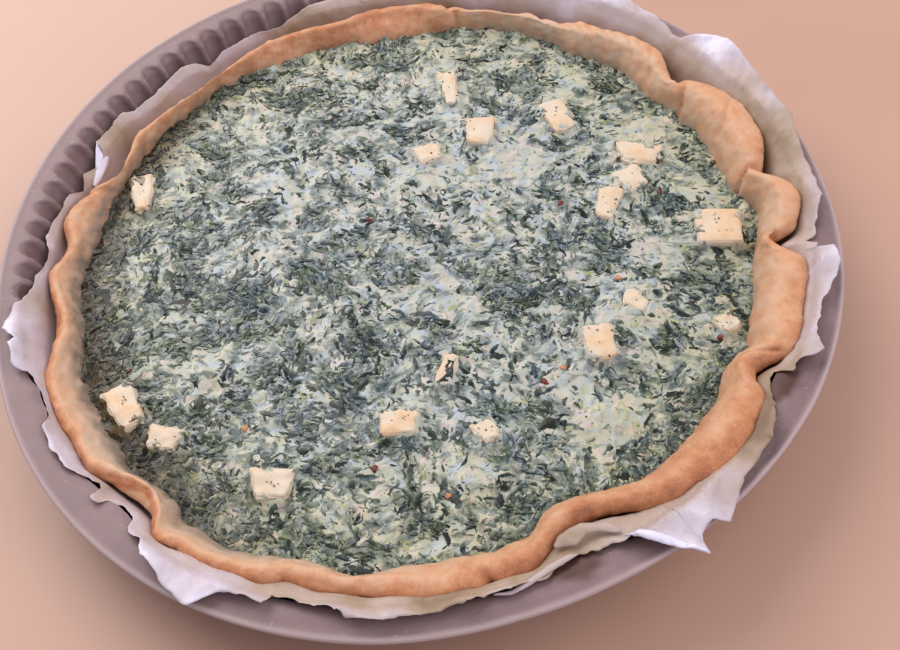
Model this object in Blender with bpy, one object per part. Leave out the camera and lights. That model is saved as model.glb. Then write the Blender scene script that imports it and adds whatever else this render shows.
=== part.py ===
"""Spinach quiche, still in the fluted silicone mould and the baking parchment it was baked in.

Metres, +Z up. The origin is the middle of the mould's flat underside. Bearings are degrees about Z,
counter-clockwise from +X. Every piece is a stack of closed rings, one ring per height or fold line.
"""
import math
import random

import bmesh
import bpy
from mathutils import Matrix, Vector

MM = 0.001
CLEARANCE = 0.3 * MM              # between pieces that touch

# Mould: a 28 cm fluted tart mould in soft silicone
MOULD_HEIGHT = 32 * MM
LIP_OUTER_RADIUS = 150 * MM
LIP_INNER_RADIUS = 141.8 * MM
LIP_THICKNESS = 2.0 * MM
WALL_THICKNESS = 1.8 * MM
FLUTES = 90
FLUTE_STEPS = 2                   # ring points in one flute: its ridge and its hollow
FLUTE_DEPTH = 3.0 * MM
RIDGE_BASE_RADIUS = 126.5 * MM    # inward ridges of the flutes, at the floor
RIDGE_TOP_RADIUS = 138.5 * MM     # and where they meet the lip
RIDGE_TOP_HEIGHT = 30 * MM
LIP_SWAY = 1.5 * MM               # the soft rim is pulled out of round in three lobes
LIP_SWAY_BEARING = -3

# Crust and filling
RIM_BEARINGS = 120                # ring points of crust, parchment and filling
PAPER_THICKNESS = 0.5 * MM
CRUST_BASE_RADIUS = 124.2 * MM
CRUST_FLOOR_THICKNESS = 3.2 * MM
CREST_RADIUS = 132.4 * MM         # outer edge of the pastry rim, before its folds
CREST_CENTRE = Vector((2.2, -2.0)) * MM
CREST_HEIGHT = 30.2 * MM
CREST_TILT = 3.4 * MM             # the rim stands higher towards this bearing
CREST_TILT_BEARING = 318
RIM_DEPTH = 7.5 * MM              # of the folded-over edge, down its outside
FILLING_RADIUS = 121.3 * MM
FILLING_CENTRE = Vector((-0.4, -1.0)) * MM
FILLING_HEIGHT = 20.2 * MM
FILLING_DOME = 0.8 * MM
INNER_BASE_SHARE = 0.965          # of the filling's radius: its side leans in towards the floor

# Hand-made folds of the pastry rim: bearing, half spread (both degrees), then in mm how far the
# fold carries the crest outwards, the filling's edge outwards, and the crest upwards.
FOLDS = (
    (19, 13, 7.0, 0.5, 1.6),
    (33, 5, -6.0, -1.5, -1.2),
    (45, 9, 3.5, 1.5, 0.4),
    (63, 12, -3.0, 3.5, -1.0),
    (92, 15, 1.5, -5.0, 0.3),
    (129, 10, -4.5, 0.5, -0.6),
    (152, 10, -6.0, -2.5, -0.6),
    (166, 6, 3.0, -1.0, 0.4),
    (177, 6, 3.0, 1.0, 0.2),
    (188, 6, -2.0, 0.5, -0.4),
    (204, 14, 5.0, 1.5, 0.4),
    (224, 6, -4.5, 2.0, -0.8),
    (238, 13, 6.5, 7.0, 0.6),
    (258, 8, 1.0, 3.0, 0.0),
    (270, 13, 3.0, -0.5, 0.6),
    (290, 14, -12.5, -8.5, -1.6),
    (312, 11, 2.0, -1.5, 1.4),
    (326, 8, -7.0, -2.0, -0.8),
    (341, 8, 4.5, 1.0, 1.6),
    (350, 5, -6.0, 1.5, -1.6),
    (359, 7, 5.0, 4.5, 1.6),
)

# Torn edge of the parchment, clockwise corners of its outline: bearing in degrees, reach from the
# middle in mm, and height above the lip in mm. Below the lip the sheet leans on the flutes.
PAPER_EDGE = (
    (0, 145.5, 1.6), (6, 147, 2.2), (12, 150.5, 3.2), (21, 151, 5.0), (27, 153.5, 8.0), (33, 148, 5.0),
    (36, 140.5, 1.2), (42, 141.5, 1.4), (51, 147, 4.0), (63, 146, 3.5), (75, 141, 2.0), (84, 137.5, -2.6),
    (96, 137, -3.0), (105, 134, -6.5), (126, 137, -3.2), (138, 134, -6.5), (150, 137, -3.0),
    (159, 133, -7.5), (171, 137, -3.5), (174, 134, -6.0), (180, 137.5, -2.8), (186, 139, 0.8),
    (189, 143.5, 0.8), (192, 139.5, 0.8), (195, 142.5, 0.8), (198, 139, 0.8), (201, 137, -2.6), (210, 137.5, -2.4), (216, 140, 0.8),
    (219, 140.5, 0.8), (222, 139.5, 0.8), (231, 144.5, 0.8), (240, 153.5, 0.8), (243, 145.5, 0.8),
    (249, 144.5, 1.2), (252, 142, 1.4), (258, 145.5, 0.8), (267, 145, 1.0), (273, 143.5, 1.4),
    (276, 140.5, 1.0), (282, 139.5, 2.0), (291, 141, 4.5), (297, 148, 4.0), (300, 155.5, 4.5),
    (303, 152.5, 1.8), (309, 147, 1.2), (315, 145, 0.9), (321, 140, 0.9), (324, 138, -1.5),
    (327, 140, 0.9), (330, 147.5, 1.4), (336, 144, 1.2), (345, 149, 2.6), (348, 140.5, 0.9), (354, 145, 1.2),
)
PAPER_RUCKS = 31                  # soft upright creases round the wall
PAPER_RUCK_DEPTH = 0.8

# Cheese cubes: x and y of the middle, length, width, turn in degrees, mm proud of the filling
CHEESE = (
    (22, 83, 8, 14, 4, 2.2),
    (31, 55, 15, 12, -12, 2.4),
    (10, 47, 11, 8, 15, 1.6),
    (62, 59, 14, 13, 30, 2.4),
    (91, 36, 16, 9, -8, 1.8),
    (87, 22, 11, 10, 20, 2.2),
    (74, 13, 11, 13, -25, 2.0),
    (111, -7, 16, 15, -4, 3.4),
    (-100, 43, 10, 14, 10, 2.4),
    (61, -50, 13, 13, 8, 3.0),
    (101, -46, 9, 8, 30, 1.8),
    (9, -60, 5, 12, 6, 2.4),
    (-9, -73, 16, 11, -6, 2.4),
    (18, -80, 10, 9, 25, 1.8),
    (-97, -53, 15, 14, 28, 2.4),
    (-83, -68, 13, 10, 12, 1.8),
    (-51, -89, 17, 12, -10, 1.8),
    (75, -32, 12, 11, 15, 1.2),
)
CHEESE_DEPTH = 12 * MM
CHEESE_BEVEL = 1.3 * MM
CHEESE_UNEVENNESS = 0.7 * MM

MOULD_FLOOR = WALL_THICKNESS
PAPER_FLOOR = MOULD_FLOOR + CLEARANCE
CRUST_FLOOR = PAPER_FLOOR + PAPER_THICKNESS + CLEARANCE
FILLING_FLOOR = CRUST_FLOOR + CRUST_FLOOR_THICKNESS + CLEARANCE
WAIST = 14 * MM                   # height of a ring half-way up the crust and the parchment
OVER_LIP = MOULD_HEIGHT + 2 * CLEARANCE + PAPER_THICKNESS + 0.2 * MM


def blend(start, end, share):
    return start + (end - start) * share


def bearings(count):
    return [360 * step / count for step in range(count)]


def turned_by(bearing, other):
    """Degrees from one bearing to another, the short way round."""
    return (bearing - other + 180) % 360 - 180


def at_bearing(bearing, radius, height):
    angle = math.radians(bearing)
    return Vector((radius * math.cos(angle), radius * math.sin(angle), height))


def offset_circle(bearing, radius, centre):
    """Distance from the origin to a circle whose middle is a little off it."""
    angle = math.radians(bearing)
    return radius + centre.x * math.cos(angle) + centre.y * math.sin(angle)


def fold_total(bearing, column):
    """Sum of one column of the folds at a bearing, each a smooth bump that ends at its half spread."""
    total = 0.0
    for fold in FOLDS:
        away = abs(turned_by(bearing, fold[0])) / fold[1]
        if away < 1:
            total += fold[column] * math.cos(away * math.pi / 2) ** 2
    return total * MM


def lip_sway(bearing):
    return LIP_SWAY * math.cos(math.radians(3 * (bearing - LIP_SWAY_BEARING)))


def ridge_radius(bearing, height):
    """The mould's wall where it is nearest to the middle: the line of its inward ridges."""
    up = (height - MOULD_FLOOR) / (RIDGE_TOP_HEIGHT - MOULD_FLOOR)
    return blend(RIDGE_BASE_RADIUS, RIDGE_TOP_RADIUS, up) + lip_sway(bearing) * min(up, 1)


def crest_height(bearing):
    tilt = CREST_TILT * math.cos(math.radians(bearing - CREST_TILT_BEARING))
    return CREST_HEIGHT + tilt + fold_total(bearing, 4)


def crest_radius(bearing):
    return offset_circle(bearing, CREST_RADIUS, CREST_CENTRE) + fold_total(bearing, 2)


def filling_radius(bearing):
    return offset_circle(bearing, FILLING_RADIUS, FILLING_CENTRE) + fold_total(bearing, 3)


def crust_outside(bearing, height):
    """Outer face of the pastry wall, kept clear of the parchment that lies on the mould's wall."""
    top = crest_height(bearing)
    up = (height - CRUST_FLOOR) / (top - CRUST_FLOOR)
    radius = blend(CRUST_BASE_RADIUS, crest_radius(bearing) - 2 * MM, min(1, up) ** 0.8)
    if height > top - RIM_DEPTH:
        radius = crest_radius(bearing)
    return min(radius, ridge_radius(bearing, height) - 1.5 * MM)


def ring_stack(name, rings):
    """A closed body from rings of points: extruded ring by ring, with the first and the last filled."""
    mesh = bpy.data.meshes.new(name)
    work = bmesh.new()
    circle = bmesh.ops.create_circle(work, segments=len(rings[0]), radius=1)
    ring = sorted(circle["verts"], key=lambda v: math.atan2(v.co.y, v.co.x) % (2 * math.pi - 1e-4))
    edges = list(work.edges)
    bmesh.ops.contextual_create(work, geom=edges)
    for vertex, place in zip(ring, rings[0]):
        vertex.co = place
    for places in rings[1:]:
        grown = bmesh.ops.extrude_edge_only(work, edges=edges)["geom"]
        new = {item for item in grown if isinstance(item, bmesh.types.BMVert)}
        ring = [next(e.other_vert(v) for e in v.link_edges if e.other_vert(v) in new) for v in ring]
        edges = [item for item in grown if isinstance(item, bmesh.types.BMEdge)
                 and item.verts[0] in new and item.verts[1] in new]
        for vertex, place in zip(ring, places):
            vertex.co = place
    bmesh.ops.contextual_create(work, geom=edges)
    bmesh.ops.recalc_face_normals(work, faces=work.faces)
    work.to_mesh(mesh)
    work.free()
    mesh.shade_smooth()
    mesh.set_sharp_from_angle(angle=math.radians(50))
    body = bpy.data.objects.new(name, mesh)
    bpy.context.scene.collection.objects.link(body)
    return body


def coat(body, name, colour, roughness):
    material = bpy.data.materials.get(name) or bpy.data.materials.new(name)
    material.use_nodes = True
    shader = material.node_tree.nodes["Principled BSDF"]
    shader.inputs["Base Color"].default_value = (*colour, 1)
    shader.inputs["Roughness"].default_value = roughness
    shader.inputs["Metallic"].default_value = 0
    body.data.materials.clear()
    body.data.materials.append(material)


def make_mould():
    """Floor, sloping fluted wall of even thickness, and the flat lip."""
    count = FLUTES * FLUTE_STEPS

    def flute(bearing):
        across = (bearing * FLUTES / 360) % 1
        return FLUTE_DEPTH * math.sin(math.pi * across)

    def wall_ring(height, outwards, level):
        return [at_bearing(b, ridge_radius(b, height) + flute(b) + outwards, level) for b in bearings(count)]

    def lip_ring(radius, level):
        return [at_bearing(b, radius + lip_sway(b), level) for b in bearings(count)]

    under = MOULD_HEIGHT - LIP_THICKNESS
    body = ring_stack("mould", [
        wall_ring(MOULD_FLOOR, 0, MOULD_FLOOR),
        wall_ring(RIDGE_TOP_HEIGHT, 0, RIDGE_TOP_HEIGHT),
        lip_ring(LIP_INNER_RADIUS, MOULD_HEIGHT),
        lip_ring(LIP_OUTER_RADIUS, MOULD_HEIGHT),
        lip_ring(LIP_OUTER_RADIUS, under),
        wall_ring(under, WALL_THICKNESS, under),
        wall_ring(MOULD_FLOOR, 0, 0),
    ])
    coat(body, "silicone", (0.30, 0.20, 0.20), 0.45)


def paper_edge(bearing, column):
    """Straight run between the two corners of the torn edge on either side of a bearing."""
    corners = list(PAPER_EDGE) + [(360,) + PAPER_EDGE[0][1:]]
    for before, after in zip(corners, corners[1:]):
        if before[0] <= bearing <= after[0]:
            share = (bearing - before[0]) / (after[0] - before[0])
            return blend(before[column], after[column], share) * MM


def make_parchment():
    """A thin sheet: flat under the crust, rucked up the wall, over the lip, with a torn edge."""
    half = PAPER_THICKNESS / 2
    room = CLEARANCE + half
    off_ridge = room + 0.25 * MM
    on_lip = MOULD_HEIGHT + room + 0.15 * MM

    def wall_place(bearing, height):
        """In the gap between crust and mould, swinging from one side of it to the other."""
        outer = ridge_radius(bearing, height) - off_ridge
        near = [crust_outside(bearing + turn, height) for turn in (-3, 0, 3)]
        inner = min(outer, max(near) + room + 0.3 * MM)
        swing = math.sin(math.radians(bearing * PAPER_RUCKS) + 2.2 * math.sin(math.radians(7 * bearing)))
        return blend(outer, inner, PAPER_RUCK_DEPTH * (0.5 + 0.5 * swing) * height / MOULD_HEIGHT)

    def profile(bearing):
        """Middle of the sheet from the floor to the torn edge."""
        reach = paper_edge(bearing, 1)
        level = MOULD_HEIGHT + paper_edge(bearing, 2)
        line = [(CRUST_BASE_RADIUS + 0.6 * MM, PAPER_FLOOR + half), (wall_place(bearing, WAIST), WAIST)]
        if level > MOULD_HEIGHT:
            shelf = ridge_radius(bearing, RIDGE_TOP_HEIGHT) + 0.9 * MM
            line.append((wall_place(bearing, 28.5 * MM), 28.5 * MM))
            line.append((shelf, on_lip))
            line.append((max(reach, shelf + MM), max(level, on_lip)))
        else:
            for drop in (3 * MM, 1.2 * MM, 0):
                line.append((wall_place(bearing, level - drop), level - drop))
        return line

    def shifted(bearing, side):
        """The profile moved half the thickness to one side of itself: 1 upper and inner, -1 below."""
        line = [Vector(point) for point in profile(bearing)]
        moved = []
        for place, point in enumerate(line):
            ahead = line[min(place + 1, len(line) - 1)]
            behind = line[place - 1] if place else point - Vector((1, 0))
            along = (ahead - behind).normalized()
            moved.append(point + Vector((-along.y, along.x)) * half * side)
        return moved

    upper = [shifted(b, 1) for b in bearings(RIM_BEARINGS)]
    lower = [shifted(b, -1) for b in bearings(RIM_BEARINGS)]
    rings = []
    rows = range(len(upper[0]))
    for side, order in ((upper, rows), (lower, reversed(rows))):
        for row in order:
            rings.append([at_bearing(b, line[row].x, line[row].y)
                          for b, line in zip(bearings(RIM_BEARINGS), side)])
    body = ring_stack("parchment", rings)
    coat(body, "parchment", (0.62, 0.55, 0.52), 0.6)


def crust_profile(bearing):
    """Radius and height round the pastry: up the outside, over the folded rim, down to the floor."""
    top = crest_height(bearing)
    edge = crest_radius(bearing)
    foot = filling_radius(bearing)
    crown = edge - 3.8 * MM
    line = [
        (CRUST_BASE_RADIUS, CRUST_FLOOR),
        (crust_outside(bearing, WAIST), WAIST),
        (crust_outside(bearing, top - RIM_DEPTH), top - RIM_DEPTH),
        (edge - 0.9 * MM, top - 4.0 * MM),
        (edge, top - 2.4 * MM),
        (edge - 1.5 * MM, top - 0.5 * MM),
        (crown, top),
        (blend(crown, foot, 0.45), blend(top, FILLING_HEIGHT, 0.22)),
        (blend(crown, foot, 0.82), blend(top, FILLING_HEIGHT, 0.62)),
        (foot, FILLING_HEIGHT - 0.6 * MM),
        (foot * INNER_BASE_SHARE, FILLING_FLOOR - CLEARANCE),
    ]
    kept = []
    for radius, height in line:
        if height < OVER_LIP:
            radius = min(radius, ridge_radius(bearing, height) - 1.5 * MM)
        kept.append((radius, height))
    return kept


def make_crust():
    """Pastry base and wall with the folded rim that stands above the filling."""
    profiles = [crust_profile(b) for b in bearings(RIM_BEARINGS)]
    rings = []
    for row in range(len(profiles[0])):
        rings.append([at_bearing(b, *line[row]) for b, line in zip(bearings(RIM_BEARINGS), profiles)])
    body = ring_stack("crust", rings)
    coat(body, "pastry", (0.62, 0.33, 0.15), 0.55)


def make_filling():
    """Set spinach custard, one body from the pastry base to its slightly domed top."""
    top = FILLING_HEIGHT - 0.6 * MM

    def ring(share, height):
        return [at_bearing(b, (filling_radius(b) - CLEARANCE) * share, height) for b in bearings(RIM_BEARINGS)]

    body = ring_stack("filling", [
        ring(INNER_BASE_SHARE, FILLING_FLOOR),
        ring(1, top),
        ring(0.95, FILLING_HEIGHT + FILLING_DOME),
    ])
    coat(body, "spinach custard", (0.30, 0.34, 0.26), 0.5)
    return body


def block(name, size, place, grow, seed, bevel):
    """An uneven cheese cube; grown by a margin and left sharp, it is the cutter of its own pocket."""
    uneven = random.Random(seed)
    work = bmesh.new()
    bmesh.ops.create_cube(work, size=1)
    for vertex in work.verts:
        for axis in range(3):
            jolt = uneven.uniform(-1, 1) * CHEESE_UNEVENNESS
            vertex.co[axis] *= size[axis] + 2 * jolt + 2 * grow
    if bevel:
        bmesh.ops.bevel(work, geom=list(work.edges), offset=bevel, segments=1, profile=0.5,
                        affect="EDGES", material=-1)
    work.transform(place)
    bmesh.ops.recalc_face_normals(work, faces=work.faces)
    mesh = bpy.data.meshes.new(name)
    work.to_mesh(mesh)
    work.free()
    body = bpy.data.objects.new(name, mesh)
    bpy.context.scene.collection.objects.link(body)
    return body


def make_cheese(filling):
    """Each cube sits in its own pocket of the filling, with its top a little proud."""
    surface = FILLING_HEIGHT + FILLING_DOME
    for number, (x, y, length, width, turn, proud) in enumerate(CHEESE, start=1):
        size = (length * MM, width * MM, CHEESE_DEPTH)
        middle = Vector((x * MM, y * MM, surface + proud * MM - CHEESE_DEPTH / 2))
        place = Matrix.Translation(middle) @ Matrix.Rotation(math.radians(turn), 4, "Z")
        cube = block(f"cheese_{number:02d}", size, place, 0, number, CHEESE_BEVEL)
        coat(cube, "cheese", (0.76, 0.60, 0.36), 0.5)
        cutter = block(f"pocket_{number:02d}", size, place, 0.5 * MM, number, 0)
        cutter.hide_render = True
        cutter.display_type = "WIRE"
        pocket = filling.modifiers.new(cutter.name, "BOOLEAN")
        pocket.operation = "DIFFERENCE"
        pocket.solver = "EXACT"
        pocket.object = cutter


for old in list(bpy.data.objects):
    bpy.data.objects.remove(old)
make_mould()
make_parchment()
make_crust()
make_cheese(make_filling())
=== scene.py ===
import math
import random

import bmesh
import bpy
import numpy as np
from mathutils import Matrix, Vector, noise


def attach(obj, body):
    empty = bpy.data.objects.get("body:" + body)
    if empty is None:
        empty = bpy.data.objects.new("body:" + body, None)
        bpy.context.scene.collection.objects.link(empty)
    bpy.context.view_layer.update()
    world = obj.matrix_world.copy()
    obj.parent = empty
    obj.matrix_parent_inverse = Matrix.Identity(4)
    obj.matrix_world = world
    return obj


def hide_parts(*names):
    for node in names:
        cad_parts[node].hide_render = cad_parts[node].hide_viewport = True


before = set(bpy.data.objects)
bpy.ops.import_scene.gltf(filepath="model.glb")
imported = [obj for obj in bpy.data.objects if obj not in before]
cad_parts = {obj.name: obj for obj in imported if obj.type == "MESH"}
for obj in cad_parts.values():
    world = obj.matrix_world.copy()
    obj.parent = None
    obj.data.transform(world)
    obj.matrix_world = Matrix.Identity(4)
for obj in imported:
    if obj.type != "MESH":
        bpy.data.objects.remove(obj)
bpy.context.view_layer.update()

# Spinach quiche in its fluted silicone mould and torn baking parchment: the looks.
# Metres, +Z up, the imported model's own frame. Bearings are degrees about Z, counter-clockwise from +X.

MM = 0.001

# ---- Sizes that the solids have too ----------------------------------------------------------------
MOULD_HEIGHT = 32 * MM
LIP_OUTER_RADIUS = 150 * MM
LIP_THICKNESS = 2.0 * MM
WALL_THICKNESS = 1.8 * MM
FLUTES = 90
FLUTE_DEPTH = 3.0 * MM
RIDGE_BASE_RADIUS = 126.5 * MM     # inward ridges of the flutes, at the floor
RIDGE_TOP_RADIUS = 138.5 * MM      # and where they meet the lip
RIDGE_TOP_HEIGHT = 30 * MM
LIP_SWAY = 1.5 * MM                # the soft lip is pulled out of round in three lobes
LIP_SWAY_BEARING = -3

CRUST_BASE_RADIUS = 124.2 * MM
CREST_RADIUS = 132.4 * MM          # outer edge of the pastry rim, before its folds
CREST_CENTRE = (2.2 * MM, -2.0 * MM)
CREST_HEIGHT = 30.2 * MM
CREST_TILT = 3.4 * MM              # the rim stands higher towards this bearing
CREST_TILT_BEARING = 318
RIM_DEPTH = 7.5 * MM               # of the folded-over edge, down its outside
FILLING_RADIUS = 121.3 * MM
FILLING_CENTRE = (-0.4 * MM, -1.0 * MM)
FILLING_HEIGHT = 20.2 * MM
FILLING_DOME = 0.8 * MM
INNER_BASE_SHARE = 0.965           # of the filling's radius, where its side meets the floor
WAIST = 14 * MM                    # half-way up the outside of the crust
PAPER_FLOOR = 2.1 * MM
CRUST_FLOOR = 2.9 * MM
FILLING_FLOOR = 6.4 * MM

# ---- Folds, tears and cubes, which the solids follow more plainly ----------------------------------
# Folds of the pastry rim's outer edge: bearing, half spread (both degrees), mm outwards, mm upwards
CREST_FOLDS = (
    (5.2, 5.0, -3.4, -0.7), (4.8, 2.0, -1.4, -0.3), (17.5, 13, 5.0, 1.6), (31.6, 6.5, -4.4, -0.9),
    (31.4, 2.4, -1.6, -0.4), (41.5, 9, 2.0, 0.5), (56.5, 4, -2.5, -0.4), (63, 12, -4.0, -1.0),
    (63, 3, 2.0, 0.2), (68, 3, -1.6, 0.0), (73.5, 7, -3.6, -0.6), (88, 13, 0.6, 0.2),
    (79, 4, -1.6, 0.0), (100, 6, -1.6, 0.0), (113, 7, 1.6, 0.2), (130, 11, -3.0, -0.5),
    (139, 6, -2.0, -0.2), (152.5, 9, -4.6, -0.8), (155, 5, -2.0, 0.0), (165.5, 6, 3.6, 0.4),
    (125, 50, -2.4, 0.0), (172, 5, -1.5, -0.3), (178, 6, 2.6, 0.2), (188, 6, -2.4, -0.4),
    (198, 6, 2.0, 0.1), (204, 14, 5.0, 0.4), (214.5, 6, 4.2, 0.2), (224.5, 6, -4.5, -0.9),
    (231, 3.5, 4.4, 0.4), (238, 13, 6.2, 0.6), (246, 5, 1.8, 0.2), (256, 12, 2.2, 0.2),
    (271, 12, 5.0, 0.7), (275.5, 2, -1.6, -0.3), (282, 3.5, 1.6, 0.2), (290.5, 12.5, -10.2, -1.6),
    (312, 14, 5.4, 1.3), (326.3, 4.6, -7.0, -1.2), (334, 10, 4.5, 0.8), (344, 7, 3.8, 0.6),
    (350.4, 3.2, -7.6, -1.4), (358.5, 8, 5.2, 1.6),
)

# Folds of the pastry where it meets the filling: bearing, half spread (both degrees), mm outwards
FOOT_FOLDS = (
    (19, 13, 1.0), (33, 6, -2.2), (45, 9, 2.0), (63, 12, 3.5), (72, 10, 3.0), (92, 15, -4.8),
    (112, 10, -3.0), (127, 4, 1.2), (152, 10, -1.8), (163, 4, -1.6), (168, 16, -1.6), (177, 6, 0.3),
    (190, 16, -1.8), (199, 12, 1.2), (204, 14, -0.6), (218, 4, 2.6), (224, 6, 1.2), (230.5, 3.5, 2.4),
    (239, 12, 5.0), (258, 9, 3.2), (270, 9, -1.6), (283.5, 3.5, 2.4), (290.5, 14, -8.8),
    (312, 11, -1.2), (326, 6, -2.0), (332, 3, 2.2), (341, 8, 0.6), (353, 6, 2.6), (0, 7, 5.6),
)

# Torn edge of the parchment: bearing in degrees, reach from the middle in mm, mm above the lip.
PAPER_EDGE = (
    (0, 146.6, 1.6), (5, 146, 1.8), (9, 147.4, 2.4), (12, 149.4, 3.0), (18, 149, 3.6), (23, 149.5, 4.2),
    (27, 151, 5.0), (29.5, 151.4, 5.4), (32, 149.4, 4.4), (34.2, 146, 2.4), (35.6, 141.6, 0.8),
    (37.4, 141, 0.6), (38.4, 142.4, 0.9), (40, 143.4, 1.2), (44, 144.4, 1.6), (50, 146.6, 3.0),
    (58, 146, 3.6), (66, 144, 3.0), (72, 141, 2.0), (78, 140, 0.8), (84, 137.5, -2.6), (94, 136, -4.5),
    (95.8, 138, -3.0), (99, 138.6, -2.8), (104, 138.4, -3.0), (107, 136.6, -4.4), (110, 135.6, -5.6),
    (115, 136, -5.4), (121, 135.6, -5.8), (124.6, 134.2, -8.4), (127, 136.6, -5.4),
    (129.5, 137.2, -4.0), (133, 136.6, -5.0), (136, 136, -6.2), (141, 136.4, -5.6), (143.5, 138, -3.4),
    (146, 137.2, -4.0), (150.4, 137.4, -3.6), (151.4, 134, -6.0), (153, 132.4, -7.6),
    (156.5, 135.4, -6.0), (159, 133.4, -8.2), (161.2, 136, -5.2), (165, 136, -5.0),
    (170.5, 136.6, -3.6), (174.6, 133.4, -5.0), (180, 137.5, -2.4), (183, 138.6, -0.6),
    (186, 141.2, 0.7), (189.3, 145, 1.1), (191, 142.6, 0.8), (191.6, 140.6, 0.6), (193, 142.6, 0.8),
    (195.6, 142.8, 0.8), (198, 138.6, -0.4), (201, 136.6, -1.4), (205, 137.4, -1.2), (207.4, 140, 0.3),
    (211, 142.2, 0.8), (214, 141, 0.6), (217, 138.4, -0.9), (219.6, 137, -1.5), (220.6, 139.6, 0.1),
    (221.5, 140.6, 0.6), (222.4, 138, -1.0), (224.6, 136.4, -1.6), (226.5, 137.4, -1.2),
    (228.5, 140, 0.2), (230.5, 142.6, 0.8), (233, 146.4, 0.9), (237, 150.6, 0.9), (240.6, 153.4, 0.9),
    (241.8, 149, 0.9), (243.2, 145.4, 0.9), (248.9, 145.6, 1.2), (249.5, 141.2, 0.9), (253, 142.6, 0.9),
    (257.6, 142.8, 0.9), (258.6, 146, 1.0), (263, 145.8, 1.1), (269, 143.6, 1.1), (273, 142.4, 1.0),
    (275.8, 139.4, 0.3), (278, 140.4, 0.5), (280.6, 138.4, 0.3), (283.6, 136.4, -0.3),
    (286, 135.4, -0.8), (289, 135.6, -0.8), (291.6, 136.0, -0.6), (293.4, 138.4, 0.4),
    (295, 143.6, 1.4), (297.4, 149.4, 1.5), (298.8, 153.4, 1.5), (299.9, 157.4, 1.4),
    (300.5, 151.4, 1.4), (302.2, 150.4, 1.3), (304.5, 153.2, 1.2), (306.2, 150.4, 1.6),
    (310, 146.4, 1.2), (316.4, 145.4, 0.9), (320.6, 141.2, 0.7), (323.4, 137, -1.2),
    (325.4, 135.2, -1.8), (326.8, 135, -1.8), (327.4, 138.6, 0.2), (328.6, 142.8, 1.6),
    (331, 148.4, 3.0), (333.2, 145, 2.4), (338.8, 145, 2.6), (341.4, 147.4, 3.0), (344.8, 149.8, 4.0),
    (346.6, 149, 4.0), (348.2, 147.8, 3.6), (348.8, 141.4, 1.0), (350.2, 137, -1.0),
    (351.4, 139.6, 0.4), (353.2, 143.6, 0.9), (356.4, 146, 1.3),
)

# How closely the sheet hugs the pastry on its way up: bearing, 1 on the pastry and 0 on the mould's wall
PAPER_HUG = (
    (0, 0.3), (20, 0.2), (60, 0.2), (90, 0.3), (180, 0.2), (200, 0.3), (222, 0.5), (227, 0.5),
    (232, 0.5), (238, 1.0), (280, 1.0), (292, 1.0), (296, 0.9), (303, 0.8), (320, 0.8), (325, 1.0),
    (327.4, 0.9), (331, 0.6), (346, 0.5), (350, 0.7), (353, 0.3),
)

# How toasted the sheet is, by bearing: 0 for white, 0.5 for beige; the beige-brown at 308–326, where the
# sheet lies in shadow, is painted shade
PAPER_TOAST_AND_SHADE = (
    (0, 0.14), (8, 0.2), (20, 0.18), (29, 0.0), (45, -0.12), (62, -0.1), (80, 0.0), (100, -0.02),
    (125, -0.08), (150, -0.08), (180, -0.12), (192, -0.2), (228, -0.2), (241, -0.06), (248, 0.02),
    (262, 0.14), (275, 0.15), (286, 0.1), (293, 0.06), (300, 0.1), (306, 0.12), (309, 0.22), (316, 0.3),
    (326, 0.28), (330, 0.02), (335, -0.1), (345, -0.2), (349, -0.12), (352, 0.0),
)

# Humps of the sheet over the mould's lip, in mm, by bearing
PAPER_HUMP = (
    (0, 0), (228, 0), (236, 1.2), (241, 0), (292, 0), (296, 1.6), (300, 2.6), (305, 1.8), (309, 0),
    (343, 0), (346, 1.6), (349, 0),
)

# Small folds of the sheet that lie on top of it: for each, places along it with bearing, radius and
# height of its inner edge and of its outer edge, in mm. Heights below MOST_OVER_SHEET count from the
# sheet, others from the mould's underside
MOST_OVER_SHEET = 10
PAPER_TUCKS = (
    ((284.9, 130.6, 32.4, 131.8, 32.6), (286, 128.4, 33.2, 132.2, 33.0), (287.6, 127.8, 33.6, 133.4, 33.0),
     (289.4, 127.6, 33.6, 131.6, 33.4), (291, 129.4, 33.8, 132.6, 34.0), (292.6, 131.4, 34.2, 135.6, 34.2),
     (293.4, 134.2, 34.0, 136.2, 34.0)),
    ((275.8, 139.8, 32.8, 140.4, 32.9), (278, 140.0, 33.0, 141.6, 33.4), (280.4, 138.2, 33.0, 140.2, 33.4),
     (283.4, 135.6, 32.8, 138.0, 33.2), (286.2, 134.6, 32.4, 136.6, 32.8), (287.2, 135.6, 32.4, 136.0, 32.4)),
    ((150.2, 133.0, 24.6, 136.8, 29.2), (151.2, 131.4, 23.8, 136.0, 28.2), (152.4, 130.6, 23.2, 134.8, 26.8),
     (153.8, 130.2, 22.6, 133.4, 25.0), (155.4, 130.0, 22.0, 132.2, 23.6), (157, 130.6, 21.6, 131.6, 22.2)),
    ((293.6, 137.4, 0.3, 138.6, 0.3), (295, 139.6, 0.6, 143.8, 0.3), (297.4, 145.4, 0.7, 149.6, 0.3),
     (298.8, 150.6, 0.6, 153.6, 0.3), (299.8, 155.4, 0.3, 156.8, 0.3)),
)

# How toasted each of those folds is
TUCK_TOAST = (0.14, 0.1, -0.35, -0.25)

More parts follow.
